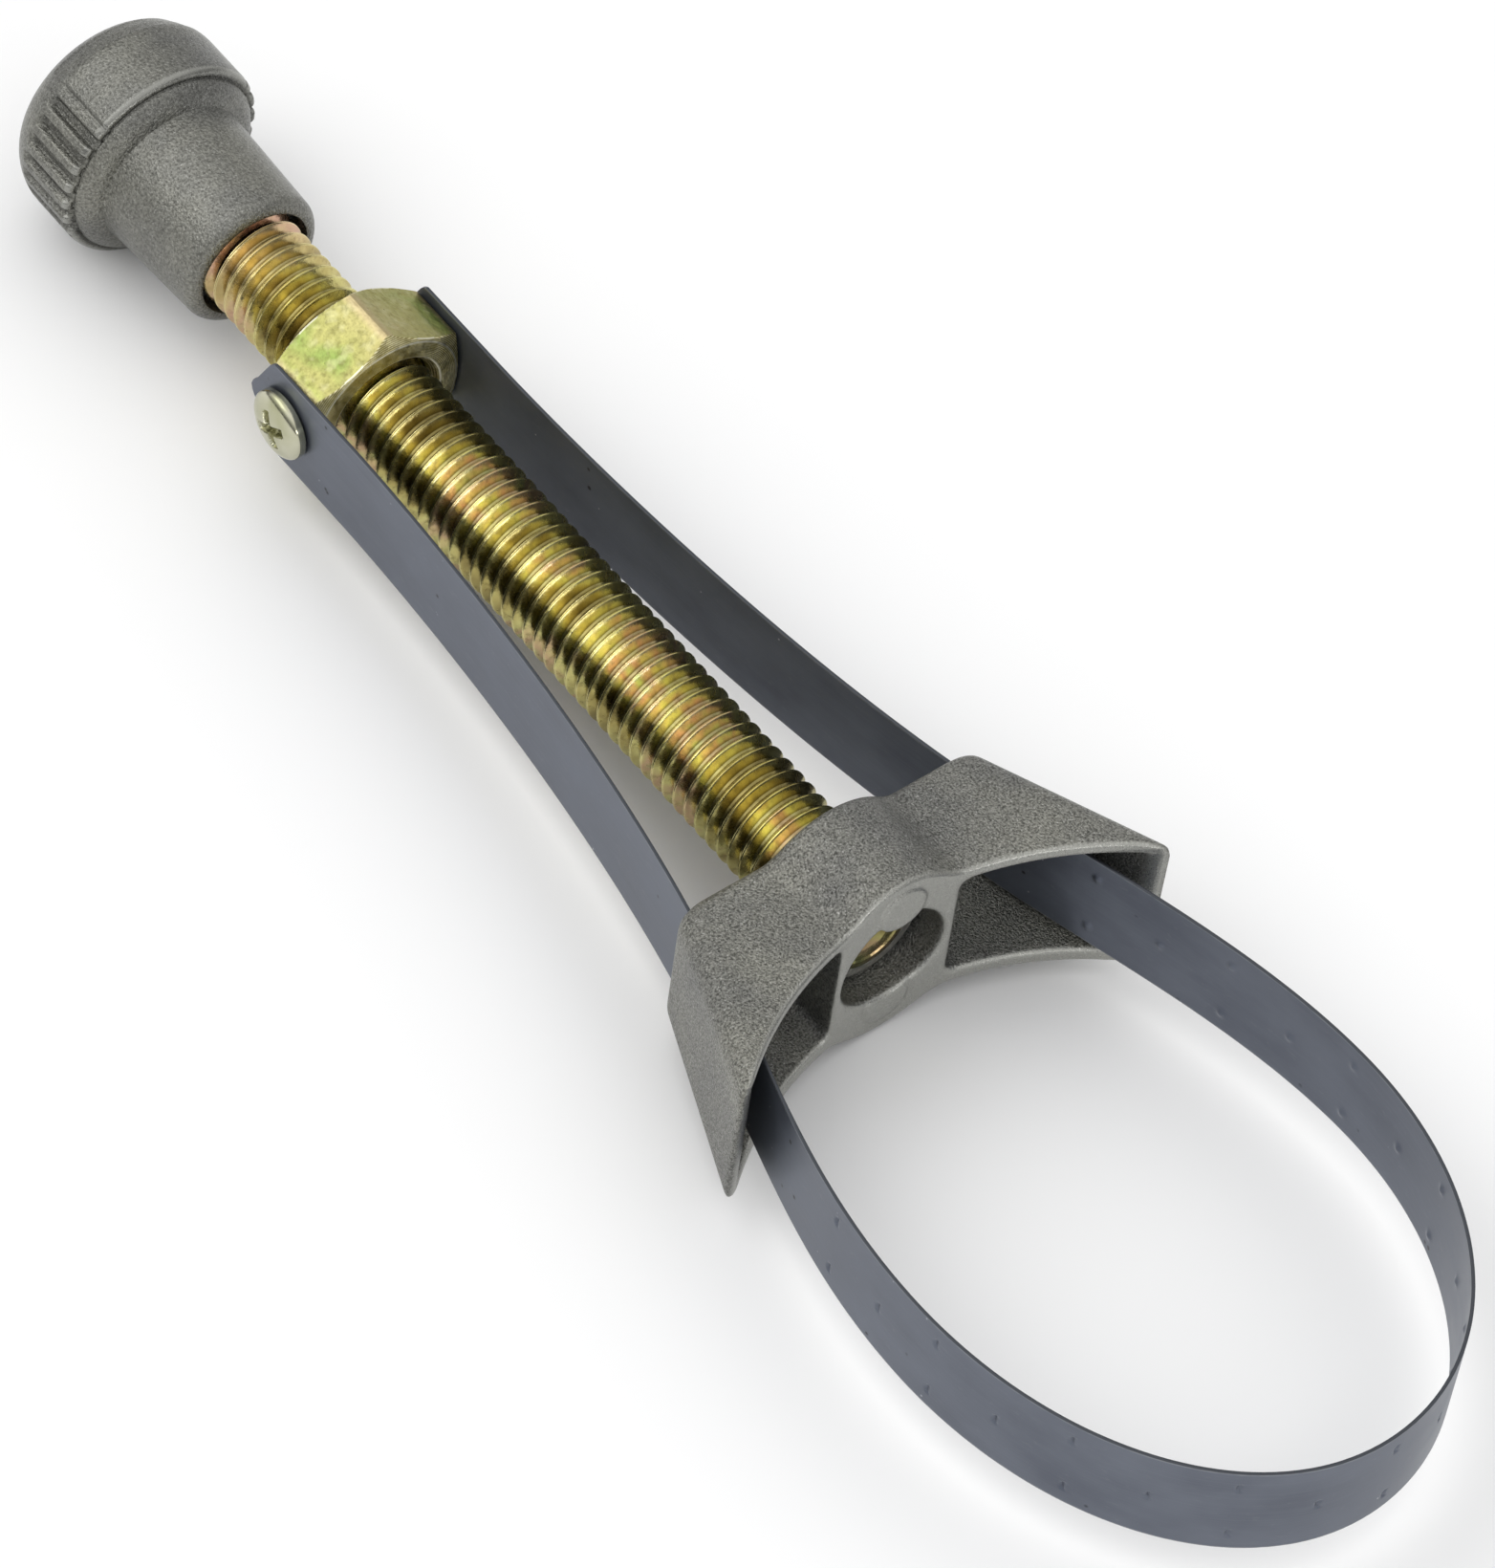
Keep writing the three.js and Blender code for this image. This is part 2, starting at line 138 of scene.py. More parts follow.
def add_world():
    """A soft dome: bright overhead, dark round the horizon, and brightest towards the key light."""
    world = bpy.data.worlds.new("studio")
    world.use_nodes = True
    SCENE.world = world
    nodes, links = world.node_tree.nodes, world.node_tree.links
    place = nodes.new("ShaderNodeTexCoord")

    def part_of_sky(direction, from_low, from_high, to_low, to_high):
        along = nodes.new("ShaderNodeVectorMath")
        along.operation = "DOT_PRODUCT"
        along.inputs[1].default_value = Vector(direction).normalized()
        span = nodes.new("ShaderNodeMapRange")
        span.interpolation_type = "SMOOTHSTEP"
        for key, number in zip(
            ("From Min", "From Max", "To Min", "To Max"), (from_low, from_high, to_low, to_high)
        ):
            span.inputs[key].default_value = number
        links.new(place.outputs["Generated"], along.inputs[0])
        links.new(along.outputs["Value"], span.inputs["Value"])
        return span.outputs[0]

    total = nodes.new("ShaderNodeMath")
    total.operation = "ADD"
    links.new(part_of_sky((0, 0, 1), 0.0, 0.9, 0.15, 1.12), total.inputs[0])
    links.new(part_of_sky(KEY_DIRECTION, 0.6, 0.97, 0.0, 0.45), total.inputs[1])
    links.new(total.outputs[0], nodes["Background"].inputs["Strength"])
    nodes["Background"].inputs["Color"].default_value = (1, 1, 1, 1)


def add_softbox(name, direction, distance, width, height, power):
    """A rectangular light that faces the middle of the wrench from a direction."""
    data = bpy.data.lights.new(name, "AREA")
    data.shape = "RECTANGLE"
    data.size, data.size_y = width, height
    data.energy = power
    light = bpy.data.objects.new(name, data)
    target = (CAD_BOX[0] + CAD_BOX[1]) / 2
    place = target + Vector(direction).normalized() * distance
    turn = (target - place).to_track_quat("-Z", "Y")
    light.matrix_world = Matrix.Translation(place) @ turn.to_matrix().to_4x4()
    SCENE.collection.objects.link(light)


add_camera()
add_floor()
add_world()
add_softbox("key", KEY_DIRECTION, 1.2, 0.9, 0.7, 1.6)
add_softbox("rim", (-0.35, 0.9, 0.25), 1.2, 0.8, 0.4, 0.5)
add_softbox("front", (0.97, -0.12, 0.22), 1.1, 0.9, 0.22, 2.1)


# ---------------------------------------------------------------- mesh helpers


def smoothstep(low, high, x):
    t = np.clip((x - low) / (high - low), 0, 1)
    return t * t * (3 - 2 * t)


def blend_min(a, b, k):
    h = np.clip(0.5 + 0.5 * (b - a) / k, 0, 1)
    return b * (1 - h) + a * h - k * h * (1 - h)


def blend_max(a, b, k):
    return -blend_min(-a, -b, k)


def make(name, points, faces, material, uv=None):
    """A mesh object from points in millimetres, with outward normals and smooth faces."""
    mesh = bpy.data.meshes.new(name)
    mesh.from_pydata((np.asarray(points, float) * MM).tolist(), [], faces)
    made = bmesh.new()
    made.from_mesh(mesh)
    bmesh.ops.recalc_face_normals(made, faces=made.faces)
    if uv is not None:
        layer = made.loops.layers.uv.new("strip")
        for face in made.faces:
            for loop in face.loops:
                loop[layer].uv = uv[loop.vert.index]
    made.to_mesh(mesh)
    made.free()
    mesh.polygons.foreach_set("use_smooth", [True] * len(mesh.polygons))
    mesh.materials.append(material)
    piece = bpy.data.objects.new(name, mesh)
    SCENE.collection.objects.link(piece)
    return piece


def soften(piece, width, angle=25.0, segments=2):
    bevel = piece.modifiers.new("edges", "BEVEL")
    bevel.width = width * MM
    bevel.segments = segments
    bevel.limit_method = "ANGLE"
    bevel.angle_limit = math.radians(angle)
    bevel.harden_normals = False


def sharpen(piece, angle=35.0):
    piece.data.set_sharp_from_angle(angle=math.radians(angle))


def arc(centre_x, centre_r, radius_x, radius_r, start, end, steps):
    """Points (x, r) on an ellipse about a centre, between two angles in degrees."""
    angles = np.radians(np.linspace(start, end, steps + 1))
    return [(centre_x + radius_x * math.cos(a), centre_r + radius_r * math.sin(a)) for a in angles]


def quadratic(a, corner, b, steps):
    a, corner, b = np.array(a), np.array(corner), np.array(b)
    shares = np.linspace(0, 1, steps + 1)
    return [tuple((1 - t) ** 2 * a + 2 * t * (1 - t) * corner + t * t * b) for t in shares]


def line(a, b, steps):
    return [tuple(p) for p in np.linspace(a, b, steps + 1)]


def turned_faces(rings, columns):
    """Faces of rings of points between two poles: the first point and the last."""
    faces = []
    last = 1 + (rings - 1) * columns
    for j in range(columns):
        k = (j + 1) % columns
        faces.append((0, 1 + j, 1 + k))
        faces.append((last + columns, last + k, last + j))
        for i in range(rings - 1):
            a, b = 1 + i * columns, 1 + (i + 1) * columns
            faces.append((a + j, b + j, b + k, a + k))
    return faces


def turned(profile, columns, radius_at=None):
    """A body about X from a list of (x, r) that starts and ends on the axis.

    radius_at(x, r, angle) may change a ring's radii round the axis.
    """
    angles = np.arange(columns) * 2 * math.pi / columns
    first, last = profile[0], profile[-1]
    points = [np.array([[first[0], 0, 0]])]
    for x, r in profile[1:-1]:
        radii = np.full(columns, float(r)) if radius_at is None else radius_at(x, r, angles)
        level = np.full(columns, x)
        points.append(np.stack([level, radii * np.cos(angles), radii * np.sin(angles)], 1))
    points.append(np.array([[last[0], 0, 0]]))
    return np.concatenate(points), turned_faces(len(profile) - 2, columns)


# ---------------------------------------------------------------- materials


class Paint:
    """A Principled material with short calls for the nodes that drive it."""

    def __init__(self, name, metallic, roughness):
        self.material = bpy.data.materials.new(name)
        self.material.use_nodes = True
        tree = self.material.node_tree
        self.nodes, self.links = tree.nodes, tree.links
        self.shader = self.nodes["Principled BSDF"]
        self.shader.inputs["Metallic"].default_value = metallic
        self.shader.inputs["Roughness"].default_value = roughness

    def place(self, output="Object", scale=(1, 1, 1)):
        coordinates = self.nodes.new("ShaderNodeTexCoord")
        mapping = self.nodes.new("ShaderNodeMapping")
        mapping.inputs["Scale"].default_value = scale
        self.links.new(coordinates.outputs[output], mapping.inputs["Vector"])
        return mapping.outputs[0]

    def noise(self, place, scale, detail=2.0, roughness=0.5):
        node = self.nodes.new("ShaderNodeTexNoise")
        node.inputs["Scale"].default_value = scale
        node.inputs["Detail"].default_value = detail
        node.inputs["Roughness"].default_value = roughness
        self.links.new(place, node.inputs["Vector"])
        return node.outputs["Fac"]

    def cells(self, place, scale, feature="F1", randomness=1.0):
        node = self.nodes.new("ShaderNodeTexVoronoi")
        node.feature = feature
        node.inputs["Scale"].default_value = scale
        node.inputs["Randomness"].default_value = randomness
        self.links.new(place, node.inputs["Vector"])
        return node.outputs["Distance"]

    def ramp(self, value, stops, interpolation="LINEAR"):
        node = self.nodes.new("ShaderNodeValToRGB")
        node.color_ramp.interpolation = interpolation
        elements = node.color_ramp.elements
        while len(elements) < len(stops):
            elements.new(0.5)
        for element, (position, colour) in zip(elements, stops):
            element.position = position
            element.color = (*colour, 1) if len(colour) == 3 else colour
        self.links.new(value, node.inputs[0])
        return node.outputs[0]

    def span(self, value, from_low, from_high, to_low, to_high):
        node = self.nodes.new("ShaderNodeMapRange")
        for key, number in zip(
            ("From Min", "From Max", "To Min", "To Max"), (from_low, from_high, to_low, to_high)
        ):
            node.inputs[key].default_value = number
        self.links.new(value, node.inputs["Value"])
        return node.outputs[0]

    def math(self, operation, a, b=None):
        node = self.nodes.new("ShaderNodeMath")
        node.operation = operation
        for socket, value in zip(node.inputs, (a, b)):
            if value is None:
                continue
            if isinstance(value, (int, float)):
                socket.default_value = value
            else:
                self.links.new(value, socket)
        return node.outputs[0]

    def mix(self, factor, a, b, kind="MIX"):
        node = self.nodes.new("ShaderNodeMix")
        node.data_type = "RGBA"
        node.blend_type = kind
        for socket, value in ((node.inputs[0], factor), (node.inputs[6], a), (node.inputs[7], b)):
            if isinstance(value, (int, float)):
                socket.default_value = value
            elif isinstance(value, tuple):
                socket.default_value = (*value, 1)
            else:
                self.links.new(value, socket)
        return node.outputs[2]

    def bump(self, height, distance, strength=1.0, under=None):
        node = self.nodes.new("ShaderNodeBump")
        if isinstance(strength, float):
            node.inputs["Strength"].default_value = strength
        else:
            self.links.new(strength, node.inputs["Strength"])
        node.inputs["Distance"].default_value = distance * MM
        self.links.new(height, node.inputs["Height"])
        if under is not None:
            self.links.new(under, node.inputs["Normal"])
        return node.outputs[0]

    def put(self, socket, value):
        self.links.new(value, self.shader.inputs[socket])


class Spot:
    """Object-space coordinates in millimetres, for masks that follow a piece's shape."""

    def __init__(self, paint, place):
        split = paint.nodes.new("ShaderNodeSeparateXYZ")
        paint.links.new(place, split.inputs[0])
        self.paint = paint
        self.x, self.y, self.z = (paint.math("MULTIPLY", split.outputs[k], 1 / MM) for k in "XYZ")

    def length(self, a, b):
        squares = [self.paint.math("MULTIPLY", side, side) for side in (a, b)]
        return self.paint.math("SQRT", self.paint.math("ADD", *squares))

    def radius(self):
        """Distance from the spindle's axis."""
        return self.length(self.y, self.z)

    def band(self, value, low, high, soft):
        """1 between two values, with soft ends."""
        rise = self.paint.span(value, low - soft, low + soft, 0.0, 1.0)
        fall = self.paint.span(value, high - soft, high + soft, 1.0, 0.0)
        return self.paint.math("MULTIPLY", rise, fall)


def cast_metal(name, grain, relief, glints, shine, dark, light, details):
    """As-cast light alloy: a crisp sandy skin with pits and painted glints, over duller patches.

    details(paint, spot) gives masks for smooth metal that is also painted pale as a highlight, and for
    painted shade in hollows.
    """
    paint = Paint(name, 0.85, 0.5)
    place = paint.place()
    sand = paint.noise(place, grain, 2.0, 0.55)
    fine = paint.noise(place, grain * 1.9, 2.0, 0.6)
    patch = paint.noise(place, 75.0, 3.0, 0.55)
    middle = tuple((a + b) / 2 for a, b in zip(dark, light))
    colour = paint.ramp(sand, [(0.33, dark), (0.50, middle), (0.70, light)])
    tint = paint.ramp(patch, [(0.35, (0.80, 0.80, 0.81)), (0.65, (1.12, 1.11, 1.06))])
    colour = paint.mix(1.0, colour, tint, "MULTIPLY")
    smooth, painted_shade = details(paint, Spot(paint, place))
    # Painted highlight: where the smooth mask is set, the colour is lightened towards a pale tone.
    colour = paint.mix(smooth, colour, paint.mix(0.8, colour, tuple(c * 1.2 for c in light)))
    # Painted shade: the second mask from details darkens hollows.
    colour = paint.mix(painted_shade, colour, tuple(c * 0.35 for c in dark))
    # Painted glints: bright flecks that stand in for reflections.
    glint = paint.span(paint.noise(place, grain * 1.3, 1.0, 0.5), 0.62, 0.76, 0.0, glints)
    colour = paint.mix(glint, colour, (0.60, 0.60, 0.57))
    rough = paint.span(fine, 0.35, 0.65, 0.50 - shine, 0.30 - shine)
    rough = paint.math("MULTIPLY", rough, paint.span(smooth, 0.0, 1.0, 1.0, 0.8))
    strength = paint.span(smooth, 0.0, 1.0, 1.0, 0.22)
    paint.put("Base Color", colour)
    paint.put("Roughness", rough)
    coarse = paint.bump(sand, relief, strength)
    paint.put("Normal", paint.bump(fine, relief * 0.35, strength, coarse))
    return paint.material


def saddle_details(paint, spot):
    """The concave front, where the die parts, is smooth and painted lighter as a highlight on it and
    its edges; nothing is darkened.
    """
    reach = spot.length(paint.math("SUBTRACT", spot.x, FRONT_X + ARC_RADIUS), spot.y)
    # Painted highlight mask: the front face and its rounded edges.
    return paint.span(reach, ARC_RADIUS + 0.75, ARC_RADIUS + 0.3, 0.0, 1.0), 0.0


def knob_details(paint, spot):
    """The rim's edge gets a painted highlight; painted shade darkens the rib valleys and the step under
    the rim.
    """
    radius = spot.radius()

    def ring(low, high, soft, radius_mask):
        return paint.math("MULTIPLY", spot.band(spot.x, low, high, soft), radius_mask)

    # Painted highlight on the rim's rounded edge.
    edge = ring(15.2, 16.0, 0.2, paint.span(radius, 15.1, 15.3, 0.0, 1.0))
    # Painted shade in the rib valleys and under the rim.
    valley_shade = ring(6.3, 15.7, 0.5, paint.span(radius, 15.2, 15.8, 0.45, 0.0))
    under = ring(15.95, 16.2, 0.1, paint.span(radius, 15.1, 14.9, 0.0, 0.5))
    return edge, paint.math("MAXIMUM", valley_shade, under)


def yellow_zinc():
    """Yellow passivated zinc on the thread: gold, with brown, pink and green drifts, a painted
    highlight on the crests and painted shade in the roots.
    """
    paint = Paint("yellow_zinc", 1.0, 0.24)
    place = paint.place()
    drift = paint.noise(place, 95.0, 3.0, 0.55)
    fleck = paint.noise(place, 900.0, 3.0, 0.6)
    colour = paint.ramp(
        drift,
        [
            (0.32, (0.24, 0.19, 0.07)),
            (0.43, (0.50, 0.42, 0.15)),
            (0.52, (0.66, 0.61, 0.24)),
            (0.61, (0.62, 0.43, 0.25)),
            (0.70, (0.50, 0.54, 0.22)),
        ],
    )
    colour = paint.mix(paint.span(fleck, 0.52, 0.75, 0.0, 0.55), colour, (0.22, 0.17, 0.06))
    spot = Spot(paint, place)
    near_knob = paint.span(spot.x, 37.0, 49.0, 0.85, 0.0)
    coppery = paint.math("MULTIPLY", near_knob, paint.span(drift, 0.4, 0.55, 0.3, 1.0))
    colour = paint.mix(coppery, colour, (0.58, 0.35, 0.26))
    # Painted highlight along the crests.
    crest = paint.span(spot.radius(), 7.50, 7.56, 0.0, 0.75)
    colour = paint.mix(crest, colour, (0.88, 0.84, 0.46))
    # Painted shade in the roots between the crests.
    root_shade = paint.span(spot.radius(), 6.75, 6.4, 0.0, 0.55)
    colour = paint.mix(root_shade, colour, (0.10, 0.08, 0.03))
    paint.put("Base Color", colour)
    paint.put("Roughness", paint.span(fleck, 0.3, 0.75, 0.12, 0.36))
    paint.put("Normal", paint.bump(fleck, 0.045, 0.8))
    return paint.material


# Bands of colour on the nut's turned end faces, painted lighter than the flats as painted light on the
# ends.
LIT_NUT_TURNING = [(0.25, (0.34, 0.30, 0.12)), (0.5, (0.60, 0.54, 0.27)), (0.8, (0.84, 0.79, 0.52))]


def nut_zinc():
    """The nut's plating: yellow-green with green and pink patches, hammered, with painted highlights
    along its edges and turned end faces painted lighter.
    """
    paint = Paint("nut_zinc", 1.0, 0.3)
    place = paint.place()
    patch = paint.noise(place, 70.0, 2.0, 0.5)
    grain = paint.noise(place, 1100.0, 3.0, 0.65)
    hammer = paint.noise(place, 520.0, 2.0, 0.5)
    spot = Spot(paint, place)
    colour = paint.ramp(
        patch,
        [
            (0.34, (0.22, 0.33, 0.08)),
            (0.43, (0.38, 0.37, 0.13)),
            (0.58, (0.43, 0.39, 0.16)),
            (0.68, (0.45, 0.35, 0.20)),
        ],
    )
    beside_strap = paint.span(spot.y, -9.6, -11.6, 0.0, 0.55)
    beside_strap = paint.math("MULTIPLY", beside_strap, paint.span(patch, 0.36, 0.5, 0.3, 1.0))
    colour = paint.mix(beside_strap, colour, (0.28, 0.42, 0.07))
    colour = paint.mix(paint.span(grain, 0.48, 0.68, 0.0, 0.5), colour, (0.25, 0.23, 0.08))
    colour = paint.mix(paint.span(hammer, 0.52, 0.66, 0.0, 0.35), colour, (0.56, 0.54, 0.30))
    radius = spot.radius()
    corner = paint.span(radius, 12.9, 13.3, 0.0, 0.55)
    colour = paint.mix(corner, colour, (0.58, 0.45, 0.28))
    facing = paint.nodes.new("ShaderNodeSeparateXYZ")
    paint.links.new(paint.place("Normal"), facing.inputs[0])
    facing_end = paint.math("ABSOLUTE", facing.outputs["X"])
    end = paint.span(facing_end, 0.2, 0.4, 0.0, 1.0)
    turning = paint.math("SINE", paint.math("MULTIPLY", radius, 26.0))
    turning = paint.math("ADD", turning, paint.span(hammer, 0.3, 0.7, -0.8, 0.8))
    # The end faces get the turned bands, painted lighter as painted light on the ends.
    colour = paint.mix(end, colour, paint.ramp(paint.span(turning, -1.5, 1.5, 0.0, 1.0), LIT_NUT_TURNING))
    # Painted highlights: thin pale lines round the end faces' rims and mouths and along the edges
    # between faces.
    rim = spot.band(radius, NUT_FACE_RADIUS - 0.12, NUT_FACE_RADIUS + 0.12, 0.06)
    mouth = spot.band(radius, NUT_MOUTH_RADIUS - 0.1, NUT_MOUTH_RADIUS + 0.16, 0.05)
    ring = paint.math("MULTIPLY", paint.math("MAXIMUM", rim, mouth), end)
    edge_highlight = paint.math("MULTIPLY", spot.band(facing_end, 0.08, 0.34, 0.04), 0.7)
    colour = paint.mix(paint.math("MAXIMUM", ring, edge_highlight), colour, (0.85, 0.83, 0.68))
    paint.put("Base Color", colour)
    rough = paint.span(grain, 0.3, 0.7, 0.26, 0.50)
    paint.put("Roughness", paint.math("MULTIPLY", rough, paint.span(end, 0.0, 1.0, 1.0, 1.25)))
    relief = paint.bump(hammer, 0.16, 0.9)
    paint.put("Normal", paint.bump(grain, 0.10, 1.0, relief))
    return paint.material


def pale_zinc():
    paint = Paint("pale_zinc", 1.0, 0.16)
    place = paint.place()
    patch = paint.noise(place, 160.0, 2.0, 0.5)
    grain = paint.noise(place, 2600.0, 2.0, 0.6)
    paint.put("Base Color", paint.ramp(patch, [(0.4, (0.42, 0.42, 0.27)), (0.6, (0.56, 0.55, 0.42))]))
    paint.put("Roughness", paint.span(grain, 0.3, 0.7, 0.12, 0.22))
    paint.put("Normal", paint.bump(grain, 0.01, 0.6))
    return paint.material


def spring_steel():
    """Satin blue-grey strip: rolling marks along it, dull clouds, specks and a lighter band along each
    arris.
    """
    paint = Paint("spring_steel", 0.65, 0.4)
    place = paint.place("UV")
    cloud = paint.noise(paint.place("UV", (60.0, 110.0, 1.0)), 1.0, 3.0, 0.55)
    marks = paint.noise(paint.place("UV", (25.0, 5200.0, 1.0)), 1.0, 2.0, 0.6)
    scuff = paint.noise(paint.place("UV", (420.0, 900.0, 1.0)), 1.0, 3.0, 0.7)
    colour = paint.ramp(cloud, [(0.30, (0.088, 0.100, 0.130)), (0.70, (0.140, 0.156, 0.192))])
    colour = paint.mix(paint.span(marks, 0.48, 0.75, 0.0, 0.16), colour, (0.20, 0.215, 0.25))
    colour = paint.mix(paint.span(scuff, 0.60, 0.74, 0.0, 0.30), colour, (0.19, 0.20, 0.22))
    for density, low, high, speck_colour in (
        (230.0, 0.05, 0.10, (0.010, 0.010, 0.012)),
        (310.0, 0.03, 0.06, (0.45, 0.46, 0.48)),
    ):
        speck = paint.span(paint.cells(place, density), low, high, 1.0, 0.0)
        chosen = paint.span(paint.noise(place, density * 0.55, 1.0, 0.5), 0.52, 0.56, 0.0, 1.0)
        colour = paint.mix(paint.math("MULTIPLY", speck, chosen), colour, speck_colour)
    split = paint.nodes.new("ShaderNodeSeparateXYZ")
    paint.links.new(place, split.inputs[0])
    across = paint.math("ABSOLUTE", split.outputs["Y"])
    side = paint.span(across, (STRAP_HALF - 0.10) * MM, (STRAP_HALF - 0.03) * MM, 0.0, 1.0)
    # A lighter band along both arrises, broken up by the scuff noise.
    arris = paint.span(across, (STRAP_HALF - 0.35) * MM, (STRAP_HALF - 0.14) * MM, 0.0, 0.6)
    arris = paint.math("MULTIPLY", arris, paint.span(scuff, 0.35, 0.6, 0.35, 1.0))
    colour = paint.mix(arris, colour, (0.30, 0.31, 0.32))
    colour = paint.mix(side, colour, (0.055, 0.06, 0.07))
    paint.put("Base Color", colour)
    paint.put("Roughness", paint.span(cloud, 0.3, 0.7, 0.30, 0.44))
    paint.put("Normal", paint.bump(marks, 0.006, 0.6))
    return paint.material


def grey_steel():
    paint = Paint("grey_steel", 1.0, 0.36)
    place = paint.place()
    rings = paint.noise(place, 1400.0, 2.0, 0.6)
    paint.put("Base Color", paint.ramp(rings, [(0.35, (0.40, 0.40, 0.38)), (0.65, (0.62, 0.61, 0.57))]))
    paint.put("Roughness", paint.span(rings, 0.3, 0.7, 0.28, 0.48))
    paint.put("Normal", paint.bump(rings, 0.02, 0.7))
    return paint.material


SADDLE_METAL = cast_metal(
    "cast_saddle", 3200.0, 0.26, 0.7, 0.0, (0.085, 0.085, 0.077), (0.34, 0.34, 0.315), saddle_details
)
KNOB_METAL = cast_metal(
    "cast_knob", 2600.0, 0.17, 0.35, 0.08, (0.12, 0.12, 0.109), (0.26, 0.26, 0.24), knob_details
)
YELLOW_ZINC = yellow_zinc()
NUT_ZINC = nut_zinc()
PALE_ZINC = pale_zinc()
SPRING_STEEL = spring_steel()
GREY_STEEL = grey_steel()


# ---------------------------------------------------------------- knob

RIB_PITCH = 11.8  # degrees
RIB_REACH = 3.3  # pitches from a patch's middle to its edge
RIB_DEPTH = 0.9
RIB_PATCHES = (167.5, 347.5)
RIB_START = (5.9, 7.3)  # where the valleys fade in, from the end face
RIB_GROOVE = 0.3  # narrow groove between a patch and the smooth panel
PANEL_STEP = 0.16
PANEL_START = (5.3, 5.8)
KNOB_CROWN = 7.6
KNOB_END_RADIUS = 8.5
KNOB_RIM_END = 14.9
KNOB_EDGE = (16.05, 15.2)
KNOB_SHOULDER = (16.15, 14.45)
KNOB_SHOULDER_CORNER = (18.0, 13.6)
KNOB_NECK = (18.6, 11.5)
KNOB_NECK_RADIUS = 10.7
KNOB_NECK_ROUND = 1.9
COUNTERBORE = (34.1, 8.5)
KNOB_BORE_RADIUS = 7.87


def knob_radius(x, r, angles):
    """The rim's two patches of ribs, with valleys open towards the neck, between smooth panels."""
    if x > KNOB_EDGE[0] + 0.1 or x < 1.0 or r < KNOB_BORE_RADIUS + 1:
        return np.full(len(angles), float(r))
    degrees = np.degrees(angles)
    cut = np.zeros(len(angles))
    panel = np.ones(len(angles))
    for middle in RIB_PATCHES:
        phase = ((degrees - middle + 180) % 360 - 180) / RIB_PITCH
        inside = np.abs(phase) <= RIB_REACH
        wave = smoothstep(0.2, 0.75, 0.5 - 0.5 * np.cos(2 * math.pi * phase)) * RIB_DEPTH
        edge = np.exp(-(((np.abs(phase) - RIB_REACH) / 0.09) ** 2)) * RIB_GROOVE
        cut = np.maximum(cut, np.where(inside, wave, 0) * (np.abs(phase) < RIB_REACH - 0.3))
        cut = np.maximum(cut, edge)
        panel[inside] = 0
    cut = cut * smoothstep(*RIB_START, x)
    lowered = PANEL_STEP * (1 - smoothstep(*PANEL_START, x)) * panel
    return np.maximum(r - cut - lowered, min(r, KNOB_SHOULDER[1]))


def knob_profile():
    end = KNOB_HIGH[0]
    rim = KNOB_HIGH[1]
    turn = KNOB_NECK_ROUND
    on_shoulder = (KNOB_SHOULDER[0] + 0.25, KNOB_SHOULDER[1] + 0.02)
    return [
        (0, 0),
        *line((0, KNOB_END_RADIUS * 0.5), (0, KNOB_END_RADIUS * 0.95), 2),
        *arc(KNOB_CROWN, KNOB_END_RADIUS, KNOB_CROWN, rim - KNOB_END_RADIUS, 180, 90, 28),
        *line((KNOB_CROWN + 0.5, rim), (KNOB_RIM_END, rim), 8),
        (KNOB_RIM_END + 0.40, rim - 0.07),
        (KNOB_RIM_END + 0.75, rim - 0.22),
        (KNOB_RIM_END + 1.00, rim - 0.45),
        KNOB_EDGE,
        (KNOB_EDGE[0] + 0.03, KNOB_EDGE[1] - 0.3),
        (KNOB_EDGE[0] - 0.05, KNOB_SHOULDER[1] + 0.15),
        KNOB_SHOULDER,
        *quadratic(on_shoulder, KNOB_SHOULDER_CORNER, KNOB_NECK, 10),
        (KNOB_NECK[0] + 0.35, KNOB_NECK[1] - 0.12),
        *line((KNOB_NECK[0] + 1.0, KNOB_NECK[1] - 0.16), (end - turn, KNOB_NECK_RADIUS), 8),
        *arc(end - turn, KNOB_NECK_RADIUS - turn, turn, turn, 80, 0, 8),
        (end - 0.08, COUNTERBORE[1] + 0.08),
        (end - 0.35, COUNTERBORE[1]),
        COUNTERBORE,
        (COUNTERBORE[0], KNOB_BORE_RADIUS),
        (SPINDLE_LOW[0] - 0.3, KNOB_BORE_RADIUS),
        (SPINDLE_LOW[0] - 0.3, 0),
    ]


def build_knob():
    points, faces = turned(knob_profile(), 720, knob_radius)
    knob = make("knob_casting", points, faces, KNOB_METAL)
    sharpen(knob, 50)
    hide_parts("knob")
    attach(knob, "spindle")


# ---------------------------------------------------------------- spindle

PITCH = 2.309
CREST_AT = 68.6  # a crest's place along X ...
CREST_ANGLE = 119.5  # ... at this angle about X, in degrees
ROOT_RADIUS = 6.35
CREST_HALF = 0.085  # half the crest's width, as a share of the pitch
CREST_FURROW = 0.11  # the shallow seam that rolling leaves along the crest
ROOT_HALF = 0.09
THREAD_COLUMNS = 72
JOURNAL_RADIUS = 5.3
PEENED_RADIUS = 5.7
PEENED_PROUD = 0.35  # the peened end stands this far out of the washer
SHOULDER_TO_END = 13.0


